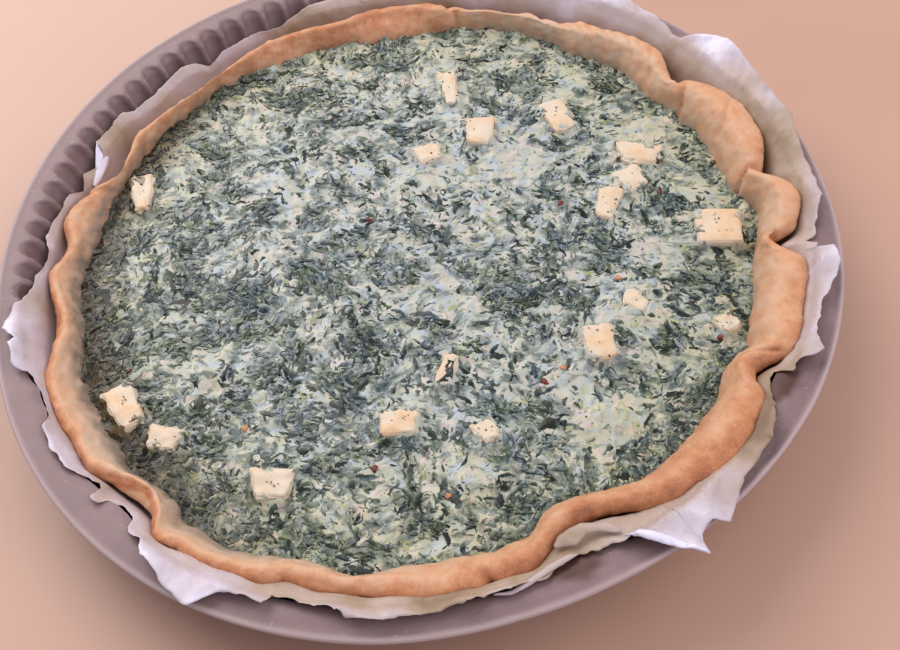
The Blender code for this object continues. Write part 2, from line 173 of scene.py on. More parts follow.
# Cheese cubes, cheese_01 onwards: x and y of the middle, length, width, turn in degrees, mm proud, taper.
# All lengths are in mm
CHEESE = (
    (21.5, 81.5, 8, 19, 4, 2.8, 0.3), (31, 55.5, 13, 14, -12, 3.0, 0.3),
    (10, 47.5, 12, 10, 15, 2.4, 0.2), (62, 59, 11, 17, 14, 3.2, 0.15), (90, 35, 19, 11, -14, 2.6, 0.35),
    (84.5, 22.5, 12, 12, 24, 2.8, 0.2), (74, 12, 10, 16, -20, 2.6, 0.3),
    (111, -6.5, 17, 16, -7, 4.4, 0.05), (-101, 43.5, 10, 18, 2, 3.2, 0.45),
    (60.5, -50, 12, 15, 4, 4.0, 0.2), (105, -47, 9, 8, 30, 2.4, 0.3), (8, -54, 7, 14, -22, 3.2, 0.2),
    (-9.5, -72, 14, 10, -4, 3.4, 0.1), (18.5, -78.5, 9, 9, 25, 2.4, 0.3),
    (-102, -53, 12, 18, 24, 3.0, 0.3), (-88, -67, 14, 9, -22, 2.4, 0.3),
    (-52, -89, 16, 11, -8, 2.6, 0.35), (76, -33, 12, 9, -30, 1.7, 0.3),
)
CHEESE_DEPTH = 12 * MM

# ---- What only shows here --------------------------------------------------------------------------
RIM_STEPS = 960                    # columns round the crust and the parchment
FLUTE_STEPS = 12                   # columns in one flute of the mould
SHEET_ROWS = 44                    # rows of the parchment, from its floor to its edge
SHEET_TOP_ROWS = 20                # the last of them, which a small fold may lie on
TUCK_COLUMNS = 28                  # columns along such a fold
TUCK_ROWS = 7                      # and rows across it
CUSTARD_STEPS = 300                # squares across the custard's skin
PAPER_MIDDLE = PAPER_FLOOR + 0.25 * MM    # height of the sheet over the mould's floor
PAPER_THICKNESS = 0.15 * MM        # heavier than real parchment, so that its torn edge shows
WALL_GAP = 1.5 * MM                # between the mould's ridges and the pastry, for the sheet to pass
SURFACE = FILLING_HEIGHT + FILLING_DOME   # top of the custard's dome

# Shape of the rolled rim: bearing, mm from its outer edge to its crown, and how full its inner slope is
RIM_ROLLS = (
    (0, 8, 0.9), (8, 7, 0.8), (19, 9, 1.0), (31, 5, 0.8), (45, 9, 1.0), (60, 9, 1.0), (70, 9, 1.0),
    (78, 7, 0.7), (86, 4, 0.2), (95, 4, 0.1), (130, 3.6, 0.1), (150, 4, 0.2), (166, 4.5, 0.3),
    (180, 4, 0.1), (200, 4.5, 0.0), (215, 4.5, 0.0), (225, 3.8, 0.0), (236, 5, 0.1), (250, 5, 0.3),
    (262, 6, 0.5), (275, 7, 0.8), (285, 5, 0.6), (292, 4, 0.4), (301, 6, 0.7), (312, 8, 1.0),
    (324, 6, 0.8), (331, 7, 0.9), (340, 9, 1.0), (349, 6, 0.9),
)

# Where the crest leans in and the wall shows outside it: bearing, half spread (degrees), mm outwards
WALL_SPREAD = (
    (224, 7, 4.0), (290, 9, 1.6), (327, 4, 2.0), (189, 6, 1.5), (154, 6, 1.5), (32, 3, 1.5),
    (5, 3, 1.5),
)

# Creases pressed in the rim: bearing and share of the way in for both ends (0 at the outer edge, 1 at
# the filling), depth, lift of the clockwise side and width, all three in mm
CREASES = (
    (31.6, -0.2, 26.0, 1.0, 1.8, 0.5, 1.0),
    (20.5, 0.2, 15.5, 0.9, 0.8, 0.3, 0.9),
    (4.6, -0.2, 6.4, 0.5, 1.8, 0.5, 0.9),
    (6.4, 0.5, 4.6, 1.0, 1.2, 0.5, 0.9),
    (350.2, -0.2, 352.6, 0.75, 2.0, 0.8, 1.0),
    (329.6, 0.1, 327.4, 0.9, 1.0, 0.3, 1.2),
    (276.4, -0.1, 272.4, 0.75, 1.3, 0.7, 1.1),
    (249.5, -0.1, 246.0, 0.8, 0.8, 0.5, 1.2),
    (229.5, 0.0, 226.0, 0.9, 0.8, 0.3, 1.4),
    (191.0, 0.1, 187.0, 0.9, 0.5, 0.0, 1.6),
    (160.5, 0.0, 157.5, 0.8, 1.0, 0.5, 1.3),
    (79.0, 0.0, 76.4, 0.8, 1.4, 0.6, 1.3),
    (61.0, 0.0, 58.0, 0.8, 0.9, 0.3, 1.2),
)

# How far the oven browned the rim, by bearing, from 0 for raw to 1 for dark: along its crown, and down
# its inner slope
CROWN_BROWNING = (
    (0, 0.5), (20, 0.48), (45, 0.42), (60, 0.4), (80, 0.54), (95, 0.68), (125, 0.5), (150, 0.5),
    (163, 0.56), (185, 0.66), (210, 0.72), (235, 0.68), (250, 0.64), (262, 0.62), (275, 0.8),
    (292, 0.76), (308, 0.84), (325, 0.62), (341, 0.54),
)
SLOPE_BROWNING = (
    (0, 0.36), (20, 0.38), (45, 0.3), (60, 0.24), (72, 0.3), (82, 0.58), (100, 0.66), (120, 0.62),
    (140, 0.56), (160, 0.44), (180, 0.34), (215, 0.16), (240, 0.18), (260, 0.34), (285, 0.44),
    (303, 0.56), (322, 0.48), (345, 0.38),
)

# How much the inner slope is greyed, by bearing: partly spinach juice, partly painted shade on the left and
# back slopes
SLOPE_STAIN_AND_SHADE = (
    (0, 0), (60, 0), (80, 0.05), (110, 0.25), (140, 0.5), (170, 0.75), (205, 0.8), (230, 0.65),
    (250, 0.2), (270, 0),
)

# Flaky wrinkles across the rim: bearing and depth in mm
WRINKLES = (
    (57, 0.7), (54.2, 0.9), (51.8, 0.6), (49, 1.0), (46.8, 0.7), (44.2, 0.9), (41.6, 0.6), (39, 0.8),
)


def blend(start, end, share):
    return start + (end - start) * share


def smooth_step(share):
    """0 before 0, 1 after 1, and an even S between them."""
    kept = np.clip(share, 0, 1)
    return kept * kept * (3 - 2 * kept)


def turned_by(bearing, other):
    """Degrees from one bearing to another, the short way round."""
    return (bearing - other + 180) % 360 - 180


def round_the(steps):
    """Evenly spaced bearings."""
    return 360 * np.arange(steps) / steps


def bearing_of(x, y):
    return np.degrees(np.arctan2(y, x)) % 360


def from_table(bearing, table, column=1):
    """Straight run between the entries of a table that is listed by bearing."""
    places = [row[0] for row in table] + [table[0][0] + 360]
    values = [row[column] for row in table] + [table[0][column]]
    return np.interp(bearing, places, values)


def fold_total(bearing, folds, column=2):
    """Sum of one column of the folds at each bearing, each a smooth bump that ends at its half spread."""
    total = np.zeros_like(bearing)
    for fold in folds:
        away = np.clip(np.abs(turned_by(bearing, fold[0])) / fold[1], 0, 1)
        total += fold[column] * np.cos(away * np.pi / 2) ** 2
    return total * MM


def offset_circle(bearing, radius, centre):
    angle = np.radians(bearing)
    return radius + centre[0] * np.cos(angle) + centre[1] * np.sin(angle)


def lip_sway(bearing):
    return LIP_SWAY * np.cos(np.radians(3 * (bearing - LIP_SWAY_BEARING)))


def ridge_radius(bearing, height):
    """The mould's wall along the line of its inward ridges."""
    up = (height - WALL_THICKNESS) / (RIDGE_TOP_HEIGHT - WALL_THICKNESS)
    return blend(RIDGE_BASE_RADIUS, RIDGE_TOP_RADIUS, up) + lip_sway(bearing) * np.clip(up, None, 1)


def crest_height(bearing):
    tilt = CREST_TILT * np.cos(np.radians(bearing - CREST_TILT_BEARING))
    return CREST_HEIGHT + tilt + fold_total(bearing, CREST_FOLDS, 3)


def crest_radius(bearing):
    return offset_circle(bearing, CREST_RADIUS, CREST_CENTRE) + fold_total(bearing, CREST_FOLDS)


def filling_radius(bearing):
    return offset_circle(bearing, FILLING_RADIUS, FILLING_CENTRE) + fold_total(bearing, FOOT_FOLDS)


def crust_outside(bearing, height):
    """Outer face of the pastry wall, clear of the parchment that lies on the mould's wall."""
    top = crest_height(bearing)
    up = (height - CRUST_FLOOR) / (top - CRUST_FLOOR)
    spread = fold_total(bearing, WALL_SPREAD)
    radius = blend(CRUST_BASE_RADIUS, crest_radius(bearing) - 2 * MM + spread, np.clip(up, 0, 1) ** 0.8)
    radius = np.where(height > top - RIM_DEPTH, crest_radius(bearing) + spread, radius)
    return np.minimum(radius, ridge_radius(bearing, height) - WALL_GAP)


def grain(places, size, seed=0, octaves=3):
    """Random relief from about -1 to 1 at each place, with bumps about `size` metres across."""
    shift = Vector((seed * 7.31, seed * 3.17, seed * 5.73 + 0.37))
    spots = (np.asarray(places, float).reshape(-1, 3) / size).tolist()
    values = [noise.fractal(Vector(spot) + shift, 0.9, 2.1, octaves) for spot in spots]
    return np.array(values).reshape(np.asarray(places).shape[:-1])


def rounded(line, times):
    """Corner cutting along the first axis: each pass replaces a corner with two points near it."""
    for _ in range(times):
        cut = np.empty((2 * len(line) - 2, *line.shape[1:]))
        cut[0::2] = blend(line[:-1], line[1:], 0.25)
        cut[1::2] = blend(line[:-1], line[1:], 0.75)
        line = np.concatenate([line[:1], cut, line[-1:]])
    return line


def ring(bearing, radius, height):
    """Radius and height at each bearing, from single numbers or from one for each bearing."""
    return np.stack([radius + 0 * bearing, height + 0 * bearing], axis=-1)


def turned(line, bearing):
    """Places in space from radii and heights, the last axis, and one bearing for each column."""
    angle = np.radians(bearing)
    radius = line[..., 0]
    return np.stack([radius * np.cos(angle), radius * np.sin(angle), line[..., 1]], axis=-1)


def outward(places):
    """Unit normals of a grid of places (rows, columns, 3) whose columns run round."""
    along = np.roll(places, -1, axis=1) - np.roll(places, 1, axis=1)
    normal = np.cross(along, np.gradient(places, axis=0))
    length = np.linalg.norm(normal, axis=-1, keepdims=True)
    return normal / np.maximum(length, 1e-12)


def finish_mesh(name, work, nodes=(), sharp=60):
    """The worked mesh as a piece that rides on the quiche and stands for the CAD nodes named."""
    mesh = bpy.data.meshes.new(name)
    work.to_mesh(mesh)
    work.free()
    mesh.shade_smooth()
    mesh.set_sharp_from_angle(angle=math.radians(sharp))
    piece = bpy.data.objects.new(name, mesh)
    bpy.context.scene.collection.objects.link(piece)
    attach(piece, "root")
    if nodes:
        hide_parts(*nodes)
    return piece


def draped_grid(places, marks=None, closed=True):
    """A grid bent to the places (rows, columns, 3). A closed one joins its last column to its first."""
    if closed:
        places = np.concatenate([places, places[:, :1]], axis=1)
    rows, columns = places.shape[:2]
    work = bmesh.new()
    bmesh.ops.create_grid(work, x_segments=columns - 1, y_segments=rows - 1, size=1)
    layers = {}
    for mark, values in (marks or {}).items():
        if closed:
            values = np.concatenate([values, values[:, :1]], axis=1)
        layers[mark] = (work.verts.layers.float.new(mark), values.ravel())
    for vertex, place in zip(work.verts, places.reshape(-1, 3)):
        vertex.co = place
    for layer, values in layers.values():
        for vertex, value in zip(work.verts, values):
            vertex[layer] = value
    if closed:
        bmesh.ops.remove_doubles(work, verts=work.verts, dist=0.002 * MM)
    return work


# ---- Materials -------------------------------------------------------------------------------------
def srgb(code):
    """Linear colour of an sRGB hex value."""
    parts = [int(code[i:i + 2], 16) / 255 for i in (1, 3, 5)]
    return (*[p / 12.92 if p <= 0.04045 else ((p + 0.055) / 1.055) ** 2.4 for p in parts], 1)


def add(tree, kind, sockets=None, stops=None, **settings):
    """Adds a node with its settings, its socket values and its links, and the stops of a ramp."""
    node = tree.nodes.new("ShaderNode" + kind)
    for setting, value in settings.items():
        setattr(node, setting, value)
    for socket, value in (sockets or {}).items():
        if isinstance(value, bpy.types.NodeSocket):
            tree.links.new(value, node.inputs[socket])
        else:
            node.inputs[socket].default_value = value
    if stops:
        while len(node.color_ramp.elements) < len(stops):
            node.color_ramp.elements.new(0.5)
        for element, (position, code) in zip(node.color_ramp.elements, stops):
            element.position = position
            element.color = srgb(code)
    return node


def new_material(name, **values):
    """An empty Principled material: its tree, its shader, and the object's own coordinates."""
    material = bpy.data.materials.new(name)
    material.use_nodes = True
    tree = material.node_tree
    shader = tree.nodes["Principled BSDF"]
    for socket, value in values.items():
        shader.inputs[socket.replace("_", " ").title().replace("Ior", "IOR")].default_value = value
    where = add(tree, "TexCoord").outputs["Object"]
    return material, tree, shader, where


def silicone_material():
    # Platinum silicone, moulded in a polished tool: an even taupe with a soft satin shine, with a painted
    # highlight along the lip's outer edge, painted shade in dark brown patches on the lip where parchment and
    # pastry shade it, and dulled in patches by a film of grease.
    material, tree, shader, where = new_material("moulded_silicone", roughness=0.42, ior=1.41)
    smears = add(tree, "TexNoise", {"Vector": where, "Scale": 1 / (18 * MM), "Detail": 5,
                                    "Roughness": 0.6})
    dust = add(tree, "TexNoise", {"Vector": where, "Scale": 1 / (1.2 * MM), "Detail": 3})
    colour = add(tree, "ValToRGB", {"Fac": smears.outputs["Fac"]},
                 stops=[(0.3, "#7E686A"), (0.55, "#897374"), (0.75, "#948083")])
    specks = add(tree, "ValToRGB", {"Fac": dust.outputs["Fac"]},
                 stops=[(0.68, "#000000"), (0.76, "#FFFFFF")])
    dusty = add(tree, "Mix", {"Factor": specks.outputs["Color"], "A": colour.outputs["Color"],
                              "B": srgb("#B7A5A8")}, data_type="RGBA")
    # Painted highlight: paler along the lip's outer edge, where light catches it.
    painted_edge_highlight = add(tree, "Attribute", attribute_name="painted_edge_highlight")
    paler = add(tree, "Mix", {"Factor": painted_edge_highlight.outputs["Fac"], "A": dusty.outputs["Result"],
                              "B": srgb("#B9A6A6")}, data_type="RGBA")
    # Painted shade: a warm dark brown where the parchment and pastry shade the lip.
    painted_shade = add(tree, "Attribute", attribute_name="painted_shade")
    shaded_lip = add(tree, "Mix", {"Factor": painted_shade.outputs["Fac"], "A": paler.outputs["Result"],
                                "B": srgb("#553A33")}, data_type="RGBA")
    tree.links.new(shaded_lip.outputs["Result"], shader.inputs["Base Color"])
    gloss = add(tree, "MapRange", {"Value": smears.outputs["Fac"], "From Min": 0.3, "From Max": 0.7,
                                   "To Min": 0.32, "To Max": 0.52})
    tree.links.new(gloss.outputs["Result"], shader.inputs["Roughness"])
    skin = add(tree, "Bump", {"Height": dust.outputs["Fac"], "Strength": 0.12, "Distance": 0.1 * MM})
    tree.links.new(skin.outputs["Normal"], shader.inputs["Normal"])
    return material


def parchment_material():
    # Silicone-coated baking parchment: off-white kraft fibre with a faint lilac cast in cool light,
    # beige where the oven has toasted it, with painted shade darker near the pastry and beige-brown where the
    # sheet lies in shadow. Its fibres are drawn at 0.9 mm, coarser than real ones, so that they show.
    material, tree, shader, where = new_material("baking_parchment", roughness=0.5, ior=1.45)
    clouds = add(tree, "TexNoise", {"Vector": where, "Scale": 1 / (22 * MM), "Detail": 4,
                                    "Roughness": 0.55})
    fibres = add(tree, "TexNoise", {"Vector": where, "Scale": 1 / (0.9 * MM), "Detail": 4,
                                    "Roughness": 0.7})
    toasted = add(tree, "Attribute", attribute_name="toasted")
    share = add(tree, "Math", {0: clouds.outputs["Fac"], 1: toasted.outputs["Fac"]}, operation="ADD")
    colour = add(tree, "ValToRGB", {"Fac": share.outputs["Value"]},
                 stops=[(0.25, "#E6E4F8"), (0.4, "#D2C9D6"), (0.55, "#BFB1B4"),
                        (0.7, "#B6A398"), (0.86, "#A08A74"), (1.0, "#86705C")])
    flecked = add(tree, "Mix", {"Factor": 0.12, "A": colour.outputs["Color"], "B": fibres.outputs["Color"]},
                  data_type="RGBA", blend_type="OVERLAY")
    tree.links.new(flecked.outputs["Result"], shader.inputs["Base Color"])
    gloss = add(tree, "MapRange", {"Value": clouds.outputs["Fac"], "From Min": 0.35, "From Max": 0.65,
                                   "To Min": 0.36, "To Max": 0.6})
    tree.links.new(gloss.outputs["Result"], shader.inputs["Roughness"])
    tooth = add(tree, "Bump", {"Height": fibres.outputs["Fac"], "Strength": 0.25, "Distance": 0.15 * MM})
    tree.links.new(tooth.outputs["Normal"], shader.inputs["Normal"])
    return material


def pastry_material():
    # Shortcrust, rolled by hand and oven baked: pale and floury where it is thick, golden along its
    # crown, brown where an edge caught the heat, greyed near the filling and down the left and back slopes,
    # partly by juice and partly as painted shade, darker in its creases as painted shade, with fine blisters.
    material, tree, shader, where = new_material("baked_shortcrust", roughness=0.55, ior=1.45)
    browning = add(tree, "Attribute", attribute_name="browning")
    mottle = add(tree, "TexNoise", {"Vector": where, "Scale": 1 / (6 * MM), "Detail": 6,
                                    "Roughness": 0.65})
    crumbs = add(tree, "TexNoise", {"Vector": where, "Scale": 1 / (0.8 * MM), "Detail": 4,
                                    "Roughness": 0.7})
    drift = add(tree, "MapRange", {"Value": mottle.outputs["Fac"], "From Min": 0.3, "From Max": 0.7,
                                   "To Min": -0.15, "To Max": 0.15})
    fine = add(tree, "MapRange", {"Value": crumbs.outputs["Fac"], "From Min": 0.3, "From Max": 0.7,
                                  "To Min": -0.08, "To Max": 0.08})
    mottled = add(tree, "Math", {0: browning.outputs["Fac"], 1: drift.outputs["Result"]}, operation="ADD")
    baked = add(tree, "Math", {0: mottled.outputs["Value"], 1: fine.outputs["Result"]}, operation="ADD")
    colour = add(tree, "ValToRGB", {"Fac": baked.outputs["Value"]},
                 stops=[(0.0, "#CAB6A3"), (0.22, "#CFB196"), (0.45, "#D3A27D"),
                        (0.7, "#C08058"), (1.0, "#8A5033")])
    stain_and_shade = add(tree, "Attribute", attribute_name="stain_and_shade")
    stain_and_shade_mix = add(tree, "Mix", {"Factor": stain_and_shade.outputs["Fac"], "A": colour.outputs["Color"],
                              "B": srgb("#786C5F")}, data_type="RGBA")
    tree.links.new(stain_and_shade_mix.outputs["Result"], shader.inputs["Base Color"])
    blisters = add(tree, "Bump", {"Height": crumbs.outputs["Fac"], "Strength": 0.5, "Distance": 0.3 * MM})
    tree.links.new(blisters.outputs["Normal"], shader.inputs["Normal"])
    return material


def custard_material():
    # Set egg and cream custard, stained by cooked spinach: pale grey-green with a moist sheen, yellower
    # where leek has melted into it, darker where chopped leaf lies just under its skin.
    material, tree, shader, where = new_material("spinach_custard", roughness=0.32, ior=1.4)
    leafy = add(tree, "Attribute", attribute_name="leafy")
    strand = add(tree, "Attribute", attribute_name="strand")
    warp = add(tree, "TexNoise", {"Vector": where, "Scale": 1 / (14 * MM), "Detail": 3})
    drift = add(tree, "VectorMath", {0: warp.outputs["Color"], 1: (14 * MM, 14 * MM, 0)},
                operation="MULTIPLY")
    bent = add(tree, "VectorMath", {0: where, 1: drift.outputs["Vector"]}, operation="ADD")
    lengthwise = add(tree, "Mapping", {"Vector": bent.outputs["Vector"], "Scale": (0.7, 1.2, 1),
                                       "Rotation": (0, 0, math.radians(38))})
    stain = add(tree, "TexNoise", {"Vector": lengthwise.outputs["Vector"], "Scale": 1 / (4.2 * MM),
                                   "Detail": 4, "Roughness": 0.5, "Distortion": 0.7})
    tint = add(tree, "TexNoise", {"Vector": where, "Scale": 1 / (4.5 * MM), "Detail": 3,
                                  "Distortion": 0.4})
    pale = add(tree, "ValToRGB", {"Fac": tint.outputs["Fac"]},
               stops=[(0.32, "#AFBBC8"), (0.42, "#AEB8B6"), (0.5, "#B5BAB0"),
                      (0.56, "#BCC0AC"), (0.62, "#C2BAB2"), (0.7, "#C6BFC4")])
    near = add(tree, "Math", {0: leafy.outputs["Fac"], 1: 0.30, 2: stain.outputs["Fac"]},
               operation="MULTIPLY_ADD")
    share = add(tree, "Math", {0: strand.outputs["Fac"], 1: 0.14, 2: near.outputs["Value"]},
                operation="MULTIPLY_ADD")
    depth = add(tree, "ValToRGB", {"Fac": share.outputs["Value"]},
                stops=[(0.56, "#FFFFFF"), (0.70, "#909090"), (0.86, "#000000")])
    leafy_tone = add(tree, "ValToRGB", {"Fac": stain.outputs["Fac"]},
                     stops=[(0.4, "#748581"), (0.7, "#40504D")])
    colour = add(tree, "Mix", {"Factor": depth.outputs["Color"], "A": leafy_tone.outputs["Color"],
                               "B": pale.outputs["Color"]}, data_type="RGBA")
    tree.links.new(coloured_to_rim(tree, where, colour.outputs["Result"]), shader.inputs["Base Color"])
    skin = add(tree, "Bump", {"Height": stain.outputs["Fac"], "Strength": 0.3, "Distance": 0.5 * MM})
    tree.links.new(skin.outputs["Normal"], shader.inputs["Normal"])
    return material


def coloured_to_rim(tree, where, colour):
    """The colour, yellower near the pastry, where its butter has soaked in, and browner near the pastry on
    the left.
    """
    flat = add(tree, "VectorMath", {0: where, 1: (1, 1, 0)}, operation="MULTIPLY")
    reach = add(tree, "VectorMath", {0: flat.outputs["Vector"]}, operation="LENGTH")
    share = add(tree, "MapRange", {"Value": reach.outputs["Value"], "From Min": 75 * MM,
                                   "From Max": 119 * MM})
    mixed = add(tree, "Mix", {"Factor": share.outputs["Result"], "A": colour, "B": srgb("#FFFAE6")},
                data_type="RGBA", blend_type="MULTIPLY")
    uneven = add(tree, "TexNoise", {"Vector": where, "Scale": 1 / (6 * MM), "Detail": 4,
                                    "Roughness": 0.6})
    edge = add(tree, "Math", {0: uneven.outputs["Fac"], 1: 16 * MM, 2: reach.outputs["Value"]},
               operation="MULTIPLY_ADD")
    near = add(tree, "MapRange", {"Value": edge.outputs["Value"], "From Min": 112 * MM,
                                  "From Max": 126 * MM})
    apart = add(tree, "SeparateXYZ", {"Vector": where})
    left = add(tree, "MapRange", {"Value": apart.outputs["X"], "From Min": -45 * MM,
                                  "From Max": -95 * MM})
    # Browner near the pastry on the left.
    left_rim_darkening = add(tree, "Math", {0: near.outputs["Result"], 1: left.outputs["Result"]}, operation="MULTIPLY")
    browned = add(tree, "Mix", {"Factor": left_rim_darkening.outputs["Value"], "A": mixed.outputs["Result"],
                                "B": srgb("#8A745E")}, data_type="RGBA", blend_type="MULTIPLY")
    return browned.outputs["Result"]


def veiled_material(name, roughness, grain_size, codes, cast=("#808080", "#808080")):
    """Something cooked in the custard: its own colour, drifting into the custard's where it is covered,
    and drifting between two casts over wider patches."""
    material, tree, shader, where = new_material(name, roughness=roughness, ior=1.4)
    veil = add(tree, "Attribute", attribute_name="veil")
    vein = add(tree, "TexNoise", {"Vector": where, "Scale": 1 / grain_size, "Detail": 3,
                                  "Roughness": 0.55})
    drift = add(tree, "MapRange", {"Value": vein.outputs["Fac"], "From Min": 0.3, "From Max": 0.7,
                                   "To Min": -0.26, "To Max": 0.26})
    share = add(tree, "Math", {0: veil.outputs["Fac"], 1: drift.outputs["Result"]}, operation="ADD")
    stops = [(place / (len(codes) - 1), code) for place, code in enumerate(codes)]
    colour = add(tree, "ValToRGB", {"Fac": share.outputs["Value"]}, stops=stops)
    patches = add(tree, "TexNoise", {"Vector": where, "Scale": 1 / (5 * MM), "Detail": 3})
    casts = add(tree, "ValToRGB", {"Fac": patches.outputs["Fac"]},
                stops=[(0.4, cast[0]), (0.6, cast[1])])
    shifted = add(tree, "Mix", {"Factor": 1.0, "A": colour.outputs["Color"], "B": casts.outputs["Color"]},
                  data_type="RGBA", blend_type="SOFT_LIGHT")
    tree.links.new(coloured_to_rim(tree, where, shifted.outputs["Result"]), shader.inputs["Base Color"])
    crinkle = add(tree, "Bump", {"Height": vein.outputs["Fac"], "Strength": 0.15, "Distance": 0.4 * MM})
    tree.links.new(crinkle.outputs["Normal"], shader.inputs["Normal"])
    return material


def leaf_material():
    # Cooked spinach, chopped: very dark blue-green wet leaf, greyer where custard has set over it.
    return veiled_material("cooked_spinach", 0.32, 1.9 * MM,
                           ("#1C2320", "#37433F", "#626E69", "#8F9893", "#AFB3AF"),
                           ("#7E8BA0", "#8F957A"))


def leek_material():
    # Sweated leek: limp yellow-green strips, nearly as pale as the custard round them.
    return veiled_material("sweated_leek", 0.34, 2.0 * MM, ("#A3AB78", "#B8BE93", "#C6CAB0"))


def plain_grains(name, dark, light, roughness):
    # Ground spice and diced root: small dry bits of one kind, each a little lighter or darker.
    return veiled_material(name, roughness, 0.8 * MM, (dark, light))


def cheese_material():
    # Brined white cheese, cut in cubes and baked: crumbly, creamy white, yellower where it is toasted.
    material, tree, shader, where = new_material("baked_cheese", roughness=0.5, ior=1.45)
    top = add(tree, "Attribute", attribute_name="toasted")
    toast = add(tree, "TexNoise", {"Vector": where, "Scale": 1 / (7 * MM), "Detail": 5,
                                   "Roughness": 0.65})
    curd = add(tree, "TexNoise", {"Vector": where, "Scale": 1 / (1.0 * MM), "Detail": 4,
                                  "Roughness": 0.7})
    share = add(tree, "Math", {0: top.outputs["Fac"], 1: toast.outputs["Fac"]}, operation="ADD")
    colour = add(tree, "ValToRGB", {"Fac": share.outputs["Value"]},
                 stops=[(0.4, "#D7CDBD"), (0.6, "#DBCBB4"), (0.78, "#DEC09C"), (1.0, "#D0A07A")])
    tree.links.new(colour.outputs["Color"], shader.inputs["Base Color"])
    skin = add(tree, "Bump", {"Height": curd.outputs["Fac"], "Strength": 0.3, "Distance": 0.3 * MM})
    tree.links.new(skin.outputs["Normal"], shader.inputs["Normal"])
    return material


def floor_material():
    # Matt painted board, plain and pale.
    material, tree, shader, where = new_material("matt_floor", roughness=0.38)
    paint = add(tree, "TexNoise", {"Vector": where, "Scale": 1 / (120 * MM), "Detail": 3})
    colour = add(tree, "ValToRGB", {"Fac": paint.outputs["Fac"]},
                 stops=[(0.3, "#C29B88"), (0.7, "#C8A28F")])
    tree.links.new(colour.outputs["Color"], shader.inputs["Base Color"])
    return material


# ---- Mould -----------------------------------------------------------------------------------------
# Where the lip's outer edge lies, in mm outwards of its even line, by bearing
LIP_SHAPE = (
    (0, -1.4), (45, -1.4), (80, 0), (110, 1), (135, 1.8), (165, 0.5), (190, -0.4), (240, 0), (262, 0.4),
    (278, -0.5), (290, -0.3), (305, 0.5), (325, 0.8), (345, -0.4),
)

# Top of the wall, where it turns into the lip: mm outwards and height on a ridge, the same in the
# middle of a hollow, and the share of the pitch that the hollow takes up
WALL_TOP = (
    (0.8, 30.8, 4.9, 30.6, 0.76), (1.8, 31.4, 5.3, 31.1, 0.70), (3.0, 31.8, 5.7, 31.5, 0.62),
    (4.3, 32.0, 6.2, 31.8, 0.56), (5.8, 32.05, 6.9, 31.95, 0.5),
)

# How far the hollows reach under the lip, by bearing: 1 all the way, 0 no farther than the wall's depth
HOLLOW_REACH = (
    (0, 0.1), (60, 0.3), (95, 0.9), (178, 0.9), (200, 0.15), (220, 0.05), (350, 0.05),
)

# Painted shade: dark patches on the lip where the parchment and pastry shade it, near where the lip turns
# down
# into the wall: bearing of the middle, bearing where the patch reaches farthest over the lip, and how dark it
# is
LIP_SHADE_PATCHES = ((325, 326, 1.0), (286, 287, 0.75))
LIP_SHADE_FROM = 133                  # mm from the middle, where a patch starts
LIP_SHADE_TO = 145                    # and where it ends at its farthest
WALL_SCOOP = 0.8                   # share of the pitch that a hollow of the wall takes up
MOST_LEAN = 5.5 * MM               # of the wall's top, inwards under a torn edge of the sheet


def scoop(bearing, wide):
    """Share of a hollow's depth: 1 in its middle, 0 on the ridge, with a round bottom."""
    across = np.abs((bearing * FLUTES / 360) % 1 - 0.5) / 0.5
    return np.sqrt(1 - np.clip(across / wide, 0, 1) ** 2)


def painted_shade_on_lip(places, bearing):
    """Share of painted shade at places on the mould, from 0 to about 1."""
    reach = np.hypot(places[..., 0], places[..., 1]) / MM
    away = np.min([np.abs(turned_by(bearing, farthest)) for _, farthest, _ in LIP_SHADE_PATCHES], axis=0)
    over_lip = smooth_step((reach - LIP_SHADE_FROM) / 3) * smooth_step((LIP_SHADE_TO - 0.8 * away - reach) / 3)
    patches = sum(share * np.exp(-(turned_by(bearing, middle) / 4) ** 4) for middle, _, share in LIP_SHADE_PATCHES)
    return over_lip * patches * (1.4 + 0.3 * grain(places, 4 * MM, 51, 2))


